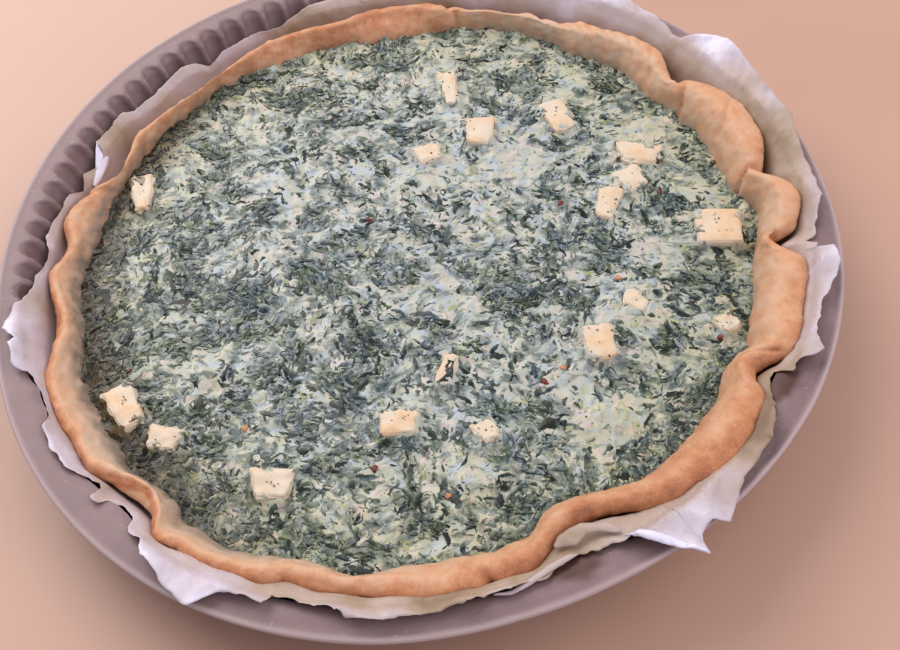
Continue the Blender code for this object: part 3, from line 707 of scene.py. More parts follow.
def make_mould():
    columns = FLUTES * FLUTE_STEPS
    bearing = round_the(columns)
    sway = lip_sway(bearing)
    droop = 0.35 * MM * np.sin(np.radians(2 * bearing + 40)) + 0.2 * MM * np.sin(np.radians(5 * bearing))
    shape = from_table(bearing, LIP_SHAPE) * MM
    hollow = from_table(bearing, HOLLOW_REACH)
    near = (-1, -0.5, 0, 0.5, 1)
    torn = np.min([from_table(bearing + step, PAPER_EDGE) for step in near], axis=0) * MM
    lean = np.clip(RIDGE_TOP_RADIUS + sway + 0.8 * MM - torn, 0, MOST_LEAN)
    lean = lean * (1 - smooth_step(hollow * 4 - 0.6))
    floor = WALL_THICKNESS
    top = MOULD_HEIGHT
    under = top - LIP_THICKNESS

    def wall(height, outwards):
        rise = smooth_step((height - 12 * MM) / (18 * MM))
        depth = FLUTE_DEPTH + 1.1 * MM * rise * hollow
        radius = ridge_radius(bearing, height) + depth * scoop(bearing, WALL_SCOOP) + outwards
        return ring(bearing, radius, height)

    def foot(outwards, height):
        radius = ridge_radius(bearing, floor) + FLUTE_DEPTH * scoop(bearing, WALL_SCOOP) + outwards
        return ring(bearing, radius, height)

    def lip(inwards, height, share=1):
        radius = LIP_OUTER_RADIUS - inwards * MM + sway + shape * share
        return ring(bearing, radius, height + droop)

    inside_heights = np.concatenate([np.linspace(2.8, 20, 7), np.linspace(22, 30, 6)]) * MM
    outside_heights = np.linspace(28.6, 3, 9) * MM
    inner = [ring(bearing, radius * MM, floor) for radius in (0, 60, 118)]
    inner += [foot(-1.5 * MM, floor)]
    inner += [wall(height, 0) for height in inside_heights]
    for ridge_out, ridge_up, hollow_out, hollow_up, wide in WALL_TOP:
        share = scoop(bearing, wide) * hollow
        out = blend(ridge_out, hollow_out, share) * MM - lean * (1 - ridge_out / 6)
        up = blend(ridge_up, hollow_up, share) * MM
        inner += [ring(bearing, RIDGE_TOP_RADIUS + sway + out, up + droop)]
    lip_rows = [lip(3.6, top + 0.05 * MM, 0.5), lip(2.4, top - 0.1 * MM), lip(1.5, top + 0.25 * MM),
                lip(0.6, top + 0.2 * MM), lip(0, top - 0.5 * MM), lip(0, under + 0.5 * MM), lip(0.6, under)]
    outer = [ring(bearing, RIDGE_TOP_RADIUS + sway + 6.9 * MM, under)]
    outer += [wall(height, WALL_THICKNESS) for height in outside_heights]
    outer += [foot(0.9 * MM, 0.7 * MM), foot(-0.2 * MM, 0)]
    outer += [ring(bearing, radius * MM, 0) for radius in (90, 0)]
    rows = inner + lip_rows + outer
    # Painted highlight on the rows at the lip's outer edge.
    painted_edge_highlight = np.zeros((len(rows), columns))
    painted_edge_highlight[len(inner) + 2:len(inner) + 6] = ((0.3,), (1.0,), (1.0,), (0.6,))
    places = turned(np.stack(rows), bearing)
    # Painted shade on the lip, none on the mould's outside.
    painted_shade = painted_shade_on_lip(places, bearing)
    painted_shade[len(inner) + len(lip_rows):] = 0
    work = draped_grid(places, {"painted_edge_highlight": painted_edge_highlight, "painted_shade": np.clip(painted_shade, 0, 1)})
    bmesh.ops.recalc_face_normals(work, faces=work.faces)
    piece = finish_mesh("silicone_mould", work, ["mould"], sharp=80)
    piece.data.materials.append(silicone_material())


# ---- Crust -----------------------------------------------------------------------------------------
def crust_lines(bearing):
    """Radius and height round the pastry: up the outside, over the rim and down to its floor."""
    top = crest_height(bearing)
    edge = crest_radius(bearing)
    foot = filling_radius(bearing)
    most = 0.48 + 0.18 * np.exp(-(turned_by(bearing, 62) / 14) ** 2)
    crown = edge - np.minimum(from_table(bearing, RIM_ROLLS) * MM, most * (edge - foot))
    full = from_table(bearing, RIM_ROLLS, 2)
    spread = fold_total(bearing, WALL_SPREAD)
    around = turned(ring(bearing, foot, 0), bearing)
    foot = foot + (0.8 * grain(around, 9 * MM, 8, 2) + 0.12 * grain(around, 2.5 * MM, 9, 2)) * MM
    drop = top - FILLING_HEIGHT
    base = FILLING_FLOOR - 0.3 * MM
    line = [
        (0, CRUST_FLOOR),
        (CRUST_BASE_RADIUS - 6 * MM, CRUST_FLOOR),
        (CRUST_BASE_RADIUS, CRUST_FLOOR),
        (CRUST_BASE_RADIUS, CRUST_FLOOR),
        (crust_outside(bearing, WAIST), WAIST),
        (crust_outside(bearing, top - RIM_DEPTH), top - RIM_DEPTH),
        (edge + spread - 0.6 * MM, top - 5.4 * MM),
        (edge + 0.6 * spread + 0.4 * MM, top - 3.2 * MM),
        (edge + 0.1 * spread - 0.4 * MM, top - 1.0 * MM),
        (blend(edge, crown, 0.5), top + 0.2 * MM),
        (crown, top + 0.3 * MM),
        (blend(crown, foot, 0.25), top - drop * blend(0.26, 0.03, full)),
        (blend(crown, foot, 0.55), top - drop * blend(0.52, 0.24, full)),
        (blend(crown, foot, 0.85), top - drop * blend(0.80, 0.60, full)),
        (foot, FILLING_HEIGHT - 0.6 * MM),
        (foot * blend(1, INNER_BASE_SHARE, 0.4), blend(FILLING_HEIGHT, FILLING_FLOOR, 0.4)),
        (foot * INNER_BASE_SHARE, base),
        (foot * INNER_BASE_SHARE, base),
        (0, base),
    ]
    shaped = np.stack([ring(bearing, radius, height) for radius, height in line])
    low = shaped[..., 1] < MOULD_HEIGHT + 1.3 * MM
    limit = ridge_radius(bearing, shaped[..., 1]) - WALL_GAP
    shaped[..., 0] = np.where(low, np.minimum(shaped[..., 0], limit), shaped[..., 0])
    return shaped


def crease_relief(bearing, share, width_mm):
    """Grooves and overlaps pressed in the rim, in mm outwards, over bearings and shares of the way in."""
    relief = np.zeros_like(share)
    arc = math.radians(132)        # mm along the rim in one degree

    def press(start, start_share, end, end_share, depth, lift, width):
        along_x = turned_by(bearing, start) * arc
        along_y = (share - start_share) * width_mm
        run_x = turned_by(end, start) * arc
        run_y = (end_share - start_share) * width_mm
        length = np.sqrt(run_x ** 2 + run_y ** 2)
        way = (along_x * run_x + along_y * run_y) / length ** 2
        off = (along_x * run_y - along_y * run_x) / length
        fade = smooth_step((way + 0.12) / 0.24) * smooth_step((1.12 - way) / 0.24)
        groove = -depth * np.exp(-(off / width) ** 2)
        side = lift * np.exp(-np.abs(off) / (3.5 * width)) * smooth_step(0.5 - off / width)
        return fade * (groove + side)

    for crease in CREASES:
        relief += press(*crease)
    for start, depth in WRINKLES:
        relief += press(start, 0.1, start - 4.5, 0.85, depth, 0.35, 0.9)
    return relief


def rim_tones(bearing, share, places, creases):
    """How browned the pastry is, and how much it is greyed: partly spinach stain, partly painted shade near
    the filling and on the left and back slopes, which face away from the light.
    """
    band = blend(0.36, 0.27, np.exp(-(turned_by(bearing, 215) / 30) ** 2))
    on_crown = np.exp(-((share - 0.06) / band) ** 2)
    browning = blend(from_table(bearing, SLOPE_BROWNING), from_table(bearing, CROWN_BROWNING), on_crown)
    browning += 0.22 * smooth_step(-share / 0.1) + 0.11 * grain(places, 9 * MM, 5, 3)
    # Painted shade: darker along the creases, where the folds shade each other.
    browning += 0.08 * np.clip(-creases, 0, 2)
    drawn = smooth_step((share - 0.48) / 0.34) * (1 + 0.8 * grain(places, 5 * MM, 6, 3))
    soaked = smooth_step((share - 0.82) / 0.2) * (0.6 + 0.8 * grain(places, 4 * MM, 7, 3))
    # Greying: spinach stain plus painted shade, down the left and back slopes and near the filling.
    return browning, np.clip(from_table(bearing, SLOPE_STAIN_AND_SHADE) * drawn + 0.4 * soaked, 0, 1)


def make_crust():
    bearing = round_the(RIM_STEPS)
    line = rounded(crust_lines(bearing), 2)
    places = turned(line, bearing)
    edge = crest_radius(bearing)
    foot = filling_radius(bearing)
    share = (edge - line[..., 0]) / (edge - foot)
    rim = smooth_step((line[..., 1] - 15 * MM) / (6 * MM))
    rim = rim * smooth_step((line[..., 0] - 105 * MM) / (8 * MM))
    relief = 0.7 * grain(places, 16 * MM, 1) + 0.42 * grain(places, 5 * MM, 2)
    relief += 0.18 * grain(places, 1.6 * MM, 3)
    creases = crease_relief(np.broadcast_to(bearing, share.shape), share, (edge - foot) / MM)
    places = places + outward(places) * ((relief + creases) * rim * MM)[..., None]
    browning, stain_and_shade = rim_tones(bearing, share, places, creases)
    work = draped_grid(places, {"browning": browning, "stain_and_shade": stain_and_shade * rim})
    bmesh.ops.recalc_face_normals(work, faces=work.faces)
    piece = finish_mesh("pastry_crust", work, ["crust"])
    piece.data.materials.append(pastry_material())


# ---- Parchment -------------------------------------------------------------------------------------
def crumple(along, across, seed):
    """Sharp creases from crossing folds: height in mm over two lengths in metres."""
    rnd = random.Random(seed)
    total = np.zeros_like(along)
    for _ in range(3):
        turn = rnd.uniform(-1.2, 1.2)
        wave = rnd.uniform(15, 27) * MM
        bend = 0.5 * np.sin(along / (wave * 2.3) + rnd.uniform(0, 6)) + 0.35 * np.sin(across / (wave * 1.1))
        phase = (along * math.cos(turn) + across * math.sin(turn)) / wave + bend + rnd.random()
        total += np.abs(phase % 1 - 0.5) * 0.18 * wave / MM
    return total


def sheet_line(bearing, reach, level, over, hug):
    """Radius and height of the sheet: out over the floor, up the wall and over the lip to its edge."""
    def gap_place(height):
        outer = ridge_radius(bearing, height) - 0.6 * MM
        inner = np.minimum(outer, crust_outside(bearing, height) + 0.8 * MM)
        away = np.clip((height - 4 * MM) / (16 * MM), 0, 1)
        return blend(inner, outer, away * (1 - hug))

    shelf = ridge_radius(bearing, RIDGE_TOP_HEIGHT)
    on_lip = MOULD_HEIGHT + 0.6 * MM
    out = np.maximum(reach * MM, shelf + 2.5 * MM)
    high = np.maximum(level, MOULD_HEIGHT + 0.5 * MM)
    close = smooth_step((hug - 0.4) / 0.4)
    top = np.minimum(blend(27, 29.2, close) * MM, level - blend(3.5, 2.6, close) * MM)
    low_end = np.maximum(gap_place(level), np.minimum(reach * MM, shelf - 0.5 * MM))
    low = [level - drop * MM for drop in (2, 1, 0.5)]
    line = (
        (0, PAPER_MIDDLE),
        (70 * MM, PAPER_MIDDLE),
        (CRUST_BASE_RADIUS + 0.6 * MM, PAPER_MIDDLE),
        (CRUST_BASE_RADIUS + 0.6 * MM, PAPER_MIDDLE),
        (gap_place(8 * MM), 8 * MM),
        (gap_place(14 * MM), 14 * MM),
        (gap_place(20 * MM), 20 * MM),
        (gap_place(top), top),
        (blend(gap_place(low[0]), shelf - blend(0.6, 1.6, close) * MM, over),
         blend(low[0], blend(30.4, 31.5, close) * MM, over)),
        (blend(blend(gap_place(low[1]), low_end, 0.4), shelf + 2 * MM, over),
         blend(low[1], on_lip, over)),
        (blend(blend(gap_place(low[2]), low_end, 0.7), blend(shelf + 2 * MM, out, 0.5), over),
         blend(low[2], blend(on_lip, high, 0.4), over)),
        (blend(low_end, out, over), blend(level, high, over)),
    )
    return rounded(np.stack([ring(bearing, radius, height) for radius, height in line]), 2)


def sheet_relief(bearing, sheet, places, across, over):
    """How far the sheet's creases stand out of its even line, in mm."""
    shelf = ridge_radius(bearing, RIDGE_TOP_HEIGHT)
    along = np.broadcast_to(np.abs(turned_by(bearing, 95)) * 2.44 * MM, across.shape)
    swells = 0.5 + 0.5 * grain(places, 14 * MM, 17, 2)
    near = smooth_step(np.clip(1 - np.abs(turned_by(bearing, 30)) / 38, 0, 1) * 2)
    slant = (np.radians(bearing) * 140 - across / MM * 0.9) / 5.0 + 0.7 * grain(places, 14 * MM, 18, 2)
    pleats = np.abs(slant % 1 - 0.5) * near * (0.6 + 0.4 * grain(places, 9 * MM, 19, 2))
    on_top = smooth_step((sheet[..., 0] - shelf - 0.5 * MM) / (4 * MM)) * over
    free = smooth_step((sheet[..., 1] - 18 * MM) / (10 * MM))
    creases = crumple(along, across, 4) * blend(1, 0.45, near)
    hump = np.exp(-((sheet[..., 0] - shelf - 5 * MM) / (4.5 * MM)) ** 2) * from_table(bearing, PAPER_HUMP)
    lift = creases * blend(0.3, 1.0, on_top) * free + (swells + hump) * on_top
    lift = lift + pleats * blend(0.3, 0.8, on_top) * free
    return lift + 0.12 * (1 + grain(places, 3 * MM, 13, 2)) * free


def make_parchment():
    bearing = round_the(RIM_STEPS)
    fine = turned(ring(bearing, 140 * MM, 0), bearing)
    reach = from_table(bearing, PAPER_EDGE)
    reach = reach + 0.4 * grain(fine, 2.5 * MM, 11, 3) + 0.3 * grain(fine, 9 * MM, 14, 2)
    level = MOULD_HEIGHT + from_table(bearing, PAPER_EDGE, 2) * MM + 0.5 * MM * grain(fine, 5 * MM, 12, 2)
    over = smooth_step((level - MOULD_HEIGHT + 1.4 * MM) / (1.8 * MM))
    smooth = sheet_line(bearing, reach, level, over, from_table(bearing, PAPER_HUG))
    steps = np.linalg.norm(np.diff(smooth, axis=0), axis=-1)
    lengths = np.concatenate([np.zeros((1, RIM_STEPS)), np.cumsum(steps, axis=0)])
    floor_rows = int(np.argmax(lengths[:, 0] > 120 * MM))
    sheet = np.empty((SHEET_ROWS, RIM_STEPS, 2))
    shares = np.linspace(0, 1, SHEET_ROWS)
    for column in range(RIM_STEPS):
        run = lengths[floor_rows:, column]
        spots = blend(run[0], run[-1], shares)
        for side in range(2):
            sheet[:, column, side] = np.interp(spots, run, smooth[floor_rows:, column, side])
    across = (lengths[-1] - lengths[floor_rows])[None] * shares[:, None]
    places = turned(sheet, bearing)
    normal = outward(places)
    normal = np.where(normal[..., 2:3] < 0, -normal, normal)
    places = places + normal * (sheet_relief(bearing, sheet, places, across, over) * MM)[..., None]
    floor = np.zeros((2, RIM_STEPS, 3))
    floor[0] = (0, 0, PAPER_MIDDLE)
    floor[1] = places[0] * (0.5, 0.5, 1)
    places = np.concatenate([floor, places])
    out_on_lip = np.hypot(places[..., 0], places[..., 1]) - ridge_radius(bearing, RIDGE_TOP_HEIGHT)
    # Painted shade: darker near the pastry, which shades the sheet, and paler higher up; the table adds
    # painted shade at 308–326.
    toasted = from_table(bearing, PAPER_TOAST_AND_SHADE) + 0.2 * smooth_step(1 - out_on_lip / (9 * MM))
    toasted = toasted - 0.08 * smooth_step((places[..., 2] - 32 * MM) / (5 * MM))
    work = draped_grid(places, {"toasted": toasted})
    bmesh.ops.recalc_face_normals(work, faces=work.faces)
    pieces = [finish_mesh("baking_parchment", work, ["parchment"], sharp=14)]
    top_rows = places[-SHEET_TOP_ROWS:].reshape(-1, 3)
    pieces += [make_tuck(number, top_rows) for number in range(1, len(PAPER_TUCKS) + 1)]
    paper = parchment_material()
    for piece in pieces:
        thick = piece.modifiers.new("paper", "SOLIDIFY")
        thick.thickness = PAPER_THICKNESS
        thick.offset = 0
        piece.data.materials.append(paper)


def make_tuck(number, top_rows):
    """A small fold of the sheet that lies on top of it."""
    stops = np.array(PAPER_TUCKS[number - 1])
    spots = np.linspace(stops[0, 0], stops[-1, 0], TUCK_COLUMNS)
    near, near_up, far, far_up = (np.interp(spots, stops[:, 0], stops[:, k]) for k in range(1, 5))
    shares = np.linspace(0, 1, TUCK_ROWS)[:, None]
    up = blend(near_up, far_up, shares) + 0.5 * np.sin(np.pi * shares)
    places = turned(np.stack([blend(near, far, shares), up], axis=-1) * MM, spots)
    if stops[0, 2] < MOST_OVER_SHEET:
        for spot in places.reshape(-1, 3):
            nearest = np.argmin(np.hypot(top_rows[:, 0] - spot[0], top_rows[:, 1] - spot[1]))
            spot[2] += top_rows[nearest, 2]
    places[..., 2] += 0.35 * MM * grain(places, 4 * MM, 70 + number, 2)
    tone = np.full(places.shape[:2], TUCK_TOAST[number - 1])
    work = draped_grid(places, {"toasted": tone}, closed=False)
    bmesh.ops.recalc_face_normals(work, faces=work.faces)
    return finish_mesh(f"parchment_tuck_{number}", work, sharp=35)


# ---- Filling ---------------------------------------------------------------------------------------
# Humps of the custard: x and y of the middle, spread and rise, all in mm
LUMPS = (
    (27, 30, 7, 1.3), (76, -33, 11, 1.3), (-77, -42, 9, 1.2), (60, -76, 9, 1.2), (47, 78, 6, 1.0),
    (-55, 8, 8, 1.0), (12, -97, 9, 0.9), (25, -60, 8, 0.8), (4, 37, 8, 0.8), (90, -60, 6, 1.0),
    (-30, 80, 6, 0.8), (-45, 42, 6, 0.8),
)

# Folded leaves that show dark: x and y of the middle in mm, turn in degrees, length and spread in mm
LEAF_FOLDS = (
    (-60, -12, -35, 22, 14), (-38, -4, -52, 24, 6), (-28, -12, -55, 12, 5), (-37, 22, -30, 14, 7),
    (-62, 100, 8, 24, 8), (-75, 63, -40, 14, 8), (-88, 77, -60, 12, 4), (-20, 54, -38, 14, 5),
    (-9, 44, -58, 14, 4), (-65, 40, 20, 12, 8), (-100, 22, 40, 16, 6), (-54, 30, 0, 12, 6),
    (3, 34, -30, 8, 4), (2, 14, -65, 14, 4), (9, 9, -50, 12, 3), (40, 12, -56, 16, 2.5),
    (52, -1, -48, 16, 2.5), (53, 22, -78, 16, 3.5), (70, -4, -70, 14, 8), (34, -23, -20, 22, 10),
    (48, -28, -30, 18, 2.5), (5, -32, -30, 12, 6), (-18, -38, -40, 16, 7), (-3, -8, -60, 10, 4),
    (3, -6, -50, 10, 2.5), (20, -12, -30, 16, 5), (66, -15, 0, 14, 5), (-32, -52, -55, 18, 5),
    (-25, -58, -70, 12, 6), (-85, -58, -15, 22, 5), (-75, -73, -10, 16, 5), (-42, -69, -10, 12, 9),
    (-50, -106, -10, 16, 7), (-70, -28, 0, 18, 5), (-45, -38, -30, 10, 6), (-95, -5, -60, 10, 7),
    (-84, -4, -50, 8, 8), (24, -71, -60, 12, 7), (-11, -80, -4, 14, 4), (6, -53, 60, 12, 3.5),
    (32, -82, 15, 10, 5), (61, -62, -60, 7, 4), (70, -48, -80, 14, 4), (85, -50, -70, 12, 12),
    (92, -71, 50, 20, 5), (79, -87, 55, 22, 5), (66, -91, 30, 14, 6), (28, -106, 5, 18, 5),
    (-5, -109, -8, 16, 5), (-30, -112, -12, 18, 4), (-114, -16, -62, 18, 3), (-118, 8, -88, 22, 3),
    (36, 72, -65, 16, 5), (0, 100, -10, 14, 7), (-15, 107, 20, 12, 6), (30, 99, 0, 14, 5),
    (45, 85, -35, 10, 5), (84, 76, -50, 20, 8), (70, 60, -85, 12, 2.5), (0, 62, -20, 12, 6),
    (-25, 82, 0, 14, 6), (-45, 88, 20, 14, 7), (114, 24, -80, 14, 4), (61, 44, 0, 10, 5),
    (96, 10, -60, 14, 7), (98, -25, -60, 12, 6), (-78, -93, -48, 16, 6), (-108, -30, -60, 14, 5),
    (12, 78, -70, 10, 4), (110, -24, -70, 12, 4),
)

LOOSE_BUNDLES = 420                # random bundles of folds between those

# Where the few flakes of chilli and dice of carrot show: x and y in mm
CHILLI_SPOTS = ((28, 93), (57, 16), (94, 16), (-15, 19), (-102, -37), (-19, -87), (40, -61.5), (102, -52))
CARROT_SPOTS = ((47, -57), (-61, -66), (4, -100), (72, -22))

# Places where custard covers the leaf: x, y and radius in mm
CREAMY = (
    (-55, 8, 9), (-78, -42, 10), (10, 38, 11), (18, 66, 8), (76, -35, 11), (60, -77, 10), (12, -97, 10),
    (28, 27, 8), (-45, 42, 6), (-100, 10, 6), (25, -58, 9), (-8, -20, 6), (-62, 78, 7), (-20, -98, 8),
    (40, 45, 8), (88, 50, 8),
)


def from_middle(x, y, place_x, place_y, turn):
    """Places seen from a middle and along its turn in degrees: along and across, in millimetres."""
    angle = math.radians(turn)
    off_x = x / MM - place_x
    off_y = y / MM - place_y
    along = off_x * math.cos(angle) + off_y * math.sin(angle)
    return along, off_y * math.cos(angle) - off_x * math.sin(angle)


def from_spot(x, y, angle, along, across):
    """The place so many mm along and across from a spot, in metres."""
    return ((x + along * math.cos(angle) - across * math.sin(angle)) * MM,
            (y + along * math.sin(angle) + across * math.cos(angle)) * MM)


def level_places(x, y):
    return np.stack([x, y, np.zeros_like(x)], axis=-1)


def near_pastry(x, y):
    """0 out in the filling, and up to 1 over the last 5 mm before the pastry."""
    return smooth_step((np.hypot(x, y) - filling_radius(bearing_of(x, y))) / (5 * MM) + 1)


def past_cube(x, y, cube):
    """Distance in mm from the side of a cheese cube, negative inside it."""
    cube_x, cube_y, length, width, turn = cube[:5]
    along, across = from_middle(x, y, cube_x, cube_y, turn)
    return np.maximum(np.abs(along) - length / 2, np.abs(across) - width / 2)


def cheese_gap(x, y):
    """Distance in mm from the nearest cheese cube, and how far the custard climbs it or dips under it."""
    gap = np.full_like(x, 1e3)
    rise = np.zeros_like(x)
    climb = 0.55 + 0.5 * grain(level_places(x, y), 4 * MM, 27, 2)
    for cube in CHEESE:
        away = past_cube(x, y, cube)
        gap = np.minimum(gap, away)
        dip = 3 * smooth_step(-(away + 0.8) / 1.5)
        lap = climb * cube[5] * np.exp(-np.clip(away, 0, None) / 1.6) - dip
        rise = np.where(np.abs(lap) > np.abs(rise), lap, rise)
    return gap, rise * MM


def swirl(x, y):
    """Which way the chopped leaf lies, in radians: long drifting swirls."""
    return math.radians(-30) + 3.2 * grain(level_places(x, y), 30 * MM, 31, 2)


def streaks(x, y, size, reach, seed):
    """Random relief like grain()'s, drawn out along the way the leaf lies."""
    turn = swirl(x, y)
    total = np.zeros_like(x)
    for step in np.linspace(-reach, reach, 5):
        total += grain(level_places(x + step * np.cos(turn), y + step * np.sin(turn)), size, seed, 2)
    return total / 3


def leafiness(x, y):
    """How thickly the leaf lies, from 0 in bare custard to 1 in a dark fold."""
    share = 0.41 - 0.09 * (x + 0.6 * y) / (100 * MM) + 0.25 * grain(level_places(x, y), 17 * MM, 24, 2)
    share += 0.36 * streaks(x, y, 5 * MM, 6 * MM, 25)
    for fold_x, fold_y, turn, length, spread in LEAF_FOLDS:
        along, across = from_middle(x, y, fold_x, fold_y, turn)
        share += 0.5 * np.exp(-(along / (0.45 * length)) ** 2 - (across / (0.5 * spread)) ** 2)
    share += 0.3 * near_pastry(x, y)
    for cream_x, cream_y, radius in CREAMY:
        share -= 0.42 * np.exp(-(np.hypot(x / MM - cream_x, y / MM - cream_y) / radius) ** 2)
    return np.clip(share, 0, 1)


def custard_height(x, y):
    """Height of the set custard's skin at places in metres."""
    flat = level_places(x, y)
    height = FILLING_HEIGHT + FILLING_DOME * np.clip(1 - (np.hypot(x, y) / FILLING_RADIUS) ** 6, 0, 1)
    height = height + 0.6 * MM * grain(flat, 11 * MM, 21, 2)
    height = height + 0.8 * MM * streaks(x, y, 3.2 * MM, 3.6 * MM, 22)
    height = height + 0.22 * MM * grain(flat, 2.0 * MM, 28, 1)
    for lump_x, lump_y, spread, rise in LUMPS:
        away = np.hypot(x - lump_x * MM, y - lump_y * MM) / (spread * MM)
        height = height + rise * MM * np.exp(-away ** 2 * 2.2)
    height = height + near_pastry(x, y) * (0.7 + 1.5 * grain(flat, 5 * MM, 23, 3)) * MM
    return height + cheese_gap(x, y)[1]


def topped_height(x, y):
    """Height of the custard's skin, or of the cheese where a cube stands out of it."""
    height = custard_height(x, y)
    for cube in CHEESE:
        away = past_cube(x, y, cube)
        bevel = 1.2 * np.clip((away + 1.5) / 1.5, 0, 1) ** 2 + 2.5 * np.clip(away, 0, None)
        height = np.maximum(height, SURFACE + (cube[5] - bevel) * MM)
    return height


def make_custard():
    edge = np.linspace(-1, 1, CUSTARD_STEPS + 1)
    u, v = np.meshgrid(edge, edge)
    disc_x = u * np.sqrt(1 - v * v / 2)
    disc_y = v * np.sqrt(1 - u * u / 2)
    bearing = bearing_of(disc_x, disc_y)
    reach = (filling_radius(bearing) + 2.2 * MM) * np.hypot(disc_x, disc_y)
    x = reach * np.cos(np.radians(bearing))
    y = reach * np.sin(np.radians(bearing))
    places = np.stack([x, y, custard_height(x, y)], axis=-1)
    marks = {"leafy": leafiness(x, y), "strand": streaks(x, y, 2 * MM, 3 * MM, 26)}
    work = draped_grid(places, marks, closed=False)
    outline = [edge for edge in work.edges if edge.is_boundary]
    grown = bmesh.ops.extrude_edge_only(work, edges=outline)["geom"]
    for vertex in [item for item in grown if isinstance(item, bmesh.types.BMVert)]:
        vertex.co = vertex.co * INNER_BASE_SHARE
        vertex.co.z = FILLING_FLOOR
    base = [item for item in grown if isinstance(item, bmesh.types.BMEdge) and item.is_boundary]
    bmesh.ops.contextual_create(work, geom=base)
    bmesh.ops.recalc_face_normals(work, faces=work.faces)
    piece = finish_mesh("spinach_custard", work, ["filling"])
    piece.data.materials.append(custard_material())


def sliver(cuts):
    """A three-sided strip along X with pointed ends: 2 long, 2 wide and 1 thick."""
    work = bmesh.new()
    bmesh.ops.create_cone(work, cap_ends=True, segments=3, radius1=1, radius2=1, depth=2)
    bmesh.ops.rotate(work, verts=work.verts, matrix=Matrix.Rotation(math.pi / 2, 3, "Y"))
    for place in np.linspace(-1, 1, cuts + 2)[1:-1]:
        geometry = [*work.verts, *work.edges, *work.faces]
        bmesh.ops.bisect_plane(work, geom=geometry, plane_co=(place, 0, 0), plane_no=(1, 0, 0))
    across = max(abs(vertex.co.y) for vertex in work.verts)
    for vertex in work.verts:
        taper = 1 - 0.9 * vertex.co.x ** 4
        vertex.co.y *= taper / across
        vertex.co.z = vertex.co.z * taper * 0.67 - 0.3
    return work


def flake(long_cuts, wide_cuts):
    """A flat round-cornered sheet, 2 long, 2 wide and 1 thick."""
    work = bmesh.new()
    bmesh.ops.create_grid(work, x_segments=long_cuts, y_segments=wide_cuts, size=1)
    for vertex in work.verts:
        x, y, _ = vertex.co
        vertex.co.x = x * math.sqrt(1 - y * y / 2)
        vertex.co.y = y * math.sqrt(1 - x * x / 2)
    grown = bmesh.ops.extrude_face_region(work, geom=list(work.faces))["geom"]
    under = [item for item in grown if isinstance(item, bmesh.types.BMVert)]
    bmesh.ops.translate(work, verts=under, vec=(0, 0, -1))
    bmesh.ops.recalc_face_normals(work, faces=work.faces)
    return work


def bead():
    """A speck, 2 across."""
    work = bmesh.new()
    bmesh.ops.create_icosphere(work, subdivisions=1, radius=1)
    return work


def lay(name, pattern, rows, thick, ripple, material, fade=0.0, ground=custard_height):
    """Copies of a pattern laid on the ground, one for each row, doubled until there are enough. A row
    has x, y, turn, length, width, curl, tone and lift, in metres and radians. The tone fades at each rim.
    The number of rows is a power of two."""
    shape = np.array([vertex.co for vertex in pattern.verts])
    for _ in range(int(math.log2(len(rows)))):
        bmesh.ops.duplicate(pattern, geom=[*pattern.verts, *pattern.edges, *pattern.faces])
    chance = np.random.default_rng(len(rows))
    along, across, up = shape.T
    x, y, turn, length, width, curl, tone, lift = rows.T[..., None]
    phase = chance.uniform(0, 2 * math.pi, (3, len(rows), 1))
    uneven = 1 + 0.3 * np.sin(2.6 * along + phase[0]) + 0.15 * np.sin(5.2 * along + phase[1])
    run = length / 2 * along * (1 + 0.18 * np.sin(2.4 * across + phase[2]))
    side = width / 2 * across * uneven
    bend = turn + curl * along
    place_x = x + run * np.cos(bend) - side * np.sin(bend)
    place_y = y + run * np.sin(bend) + side * np.cos(bend)
    wave = np.sin(3.4 * along + 2.9 * across + phase[1])
    wave = wave + 0.8 * np.sin(4.6 * across - 1.3 * along + phase[2])
    height = ground(place_x, place_y) + lift + thick * up + ripple * wave
    piece = finish_mesh(name, pattern)
    piece.data.vertices.foreach_set("co", np.stack([place_x, place_y, height], axis=-1).ravel())
    tones = piece.data.attributes.new("veil", "FLOAT", "POINT")
    rim = np.clip(along ** 2 + across ** 2, 0, 1)
    # The tone rises a little on the crests of the ripple: painted highlight.
    tones.data.foreach_set("value", (tone + fade * rim ** 2 + 0.08 * wave).ravel())
    piece.data.update()
    piece.data.materials.append(material)


def strewn(count, seed, clumping, clear=0.3):
    """Random places on the filling, thicker where the leaf has clumped, clear of the cheese in mm."""
    chance = np.random.default_rng(seed)
    tried = 12 * count             # enough for the places that the cheese and bare custard turn away
    bearing = chance.uniform(0, 360, tried)
    reach = 126 * MM * np.sqrt(chance.random(tried))
    x = reach * np.cos(np.radians(bearing))
    y = reach * np.sin(np.radians(bearing))
    inside = (reach < filling_radius(bearing) + 1.2 * MM) & (cheese_gap(x, y)[0] > clear)
    x, y = x[inside], y[inside]
    wanted = blend(0.3, leafiness(x, y) ** 1.6, clumping)
    chosen = np.flatnonzero(chance.random(len(x)) < wanted)[:count]
    return x[chosen], y[chosen], chance


def leaf_rows(count, seed, clumping, length, width, tone, lift, curl=0.45):
    """Rows for lay(): lengths and widths drawn between their limits in mm, most of them short."""
    x, y, chance = strewn(count, seed, clumping)
    finer = 1 - 0.25 * smooth_step(y / (70 * MM))
    long = blend(*length, chance.beta(1.2, 2.6, count)) * finer * MM
    wide = np.minimum(blend(*width, chance.beta(1.5, 2.2, count)) * finer * MM, 0.6 * long)
    rows = [x, y, swirl(x, y) + chance.normal(0, 0.6, count), long, wide, chance.normal(0, curl, count),
            blend(*tone, chance.random(count)), blend(*lift, chance.random(count)) * MM]
    return np.stack(rows, axis=-1)


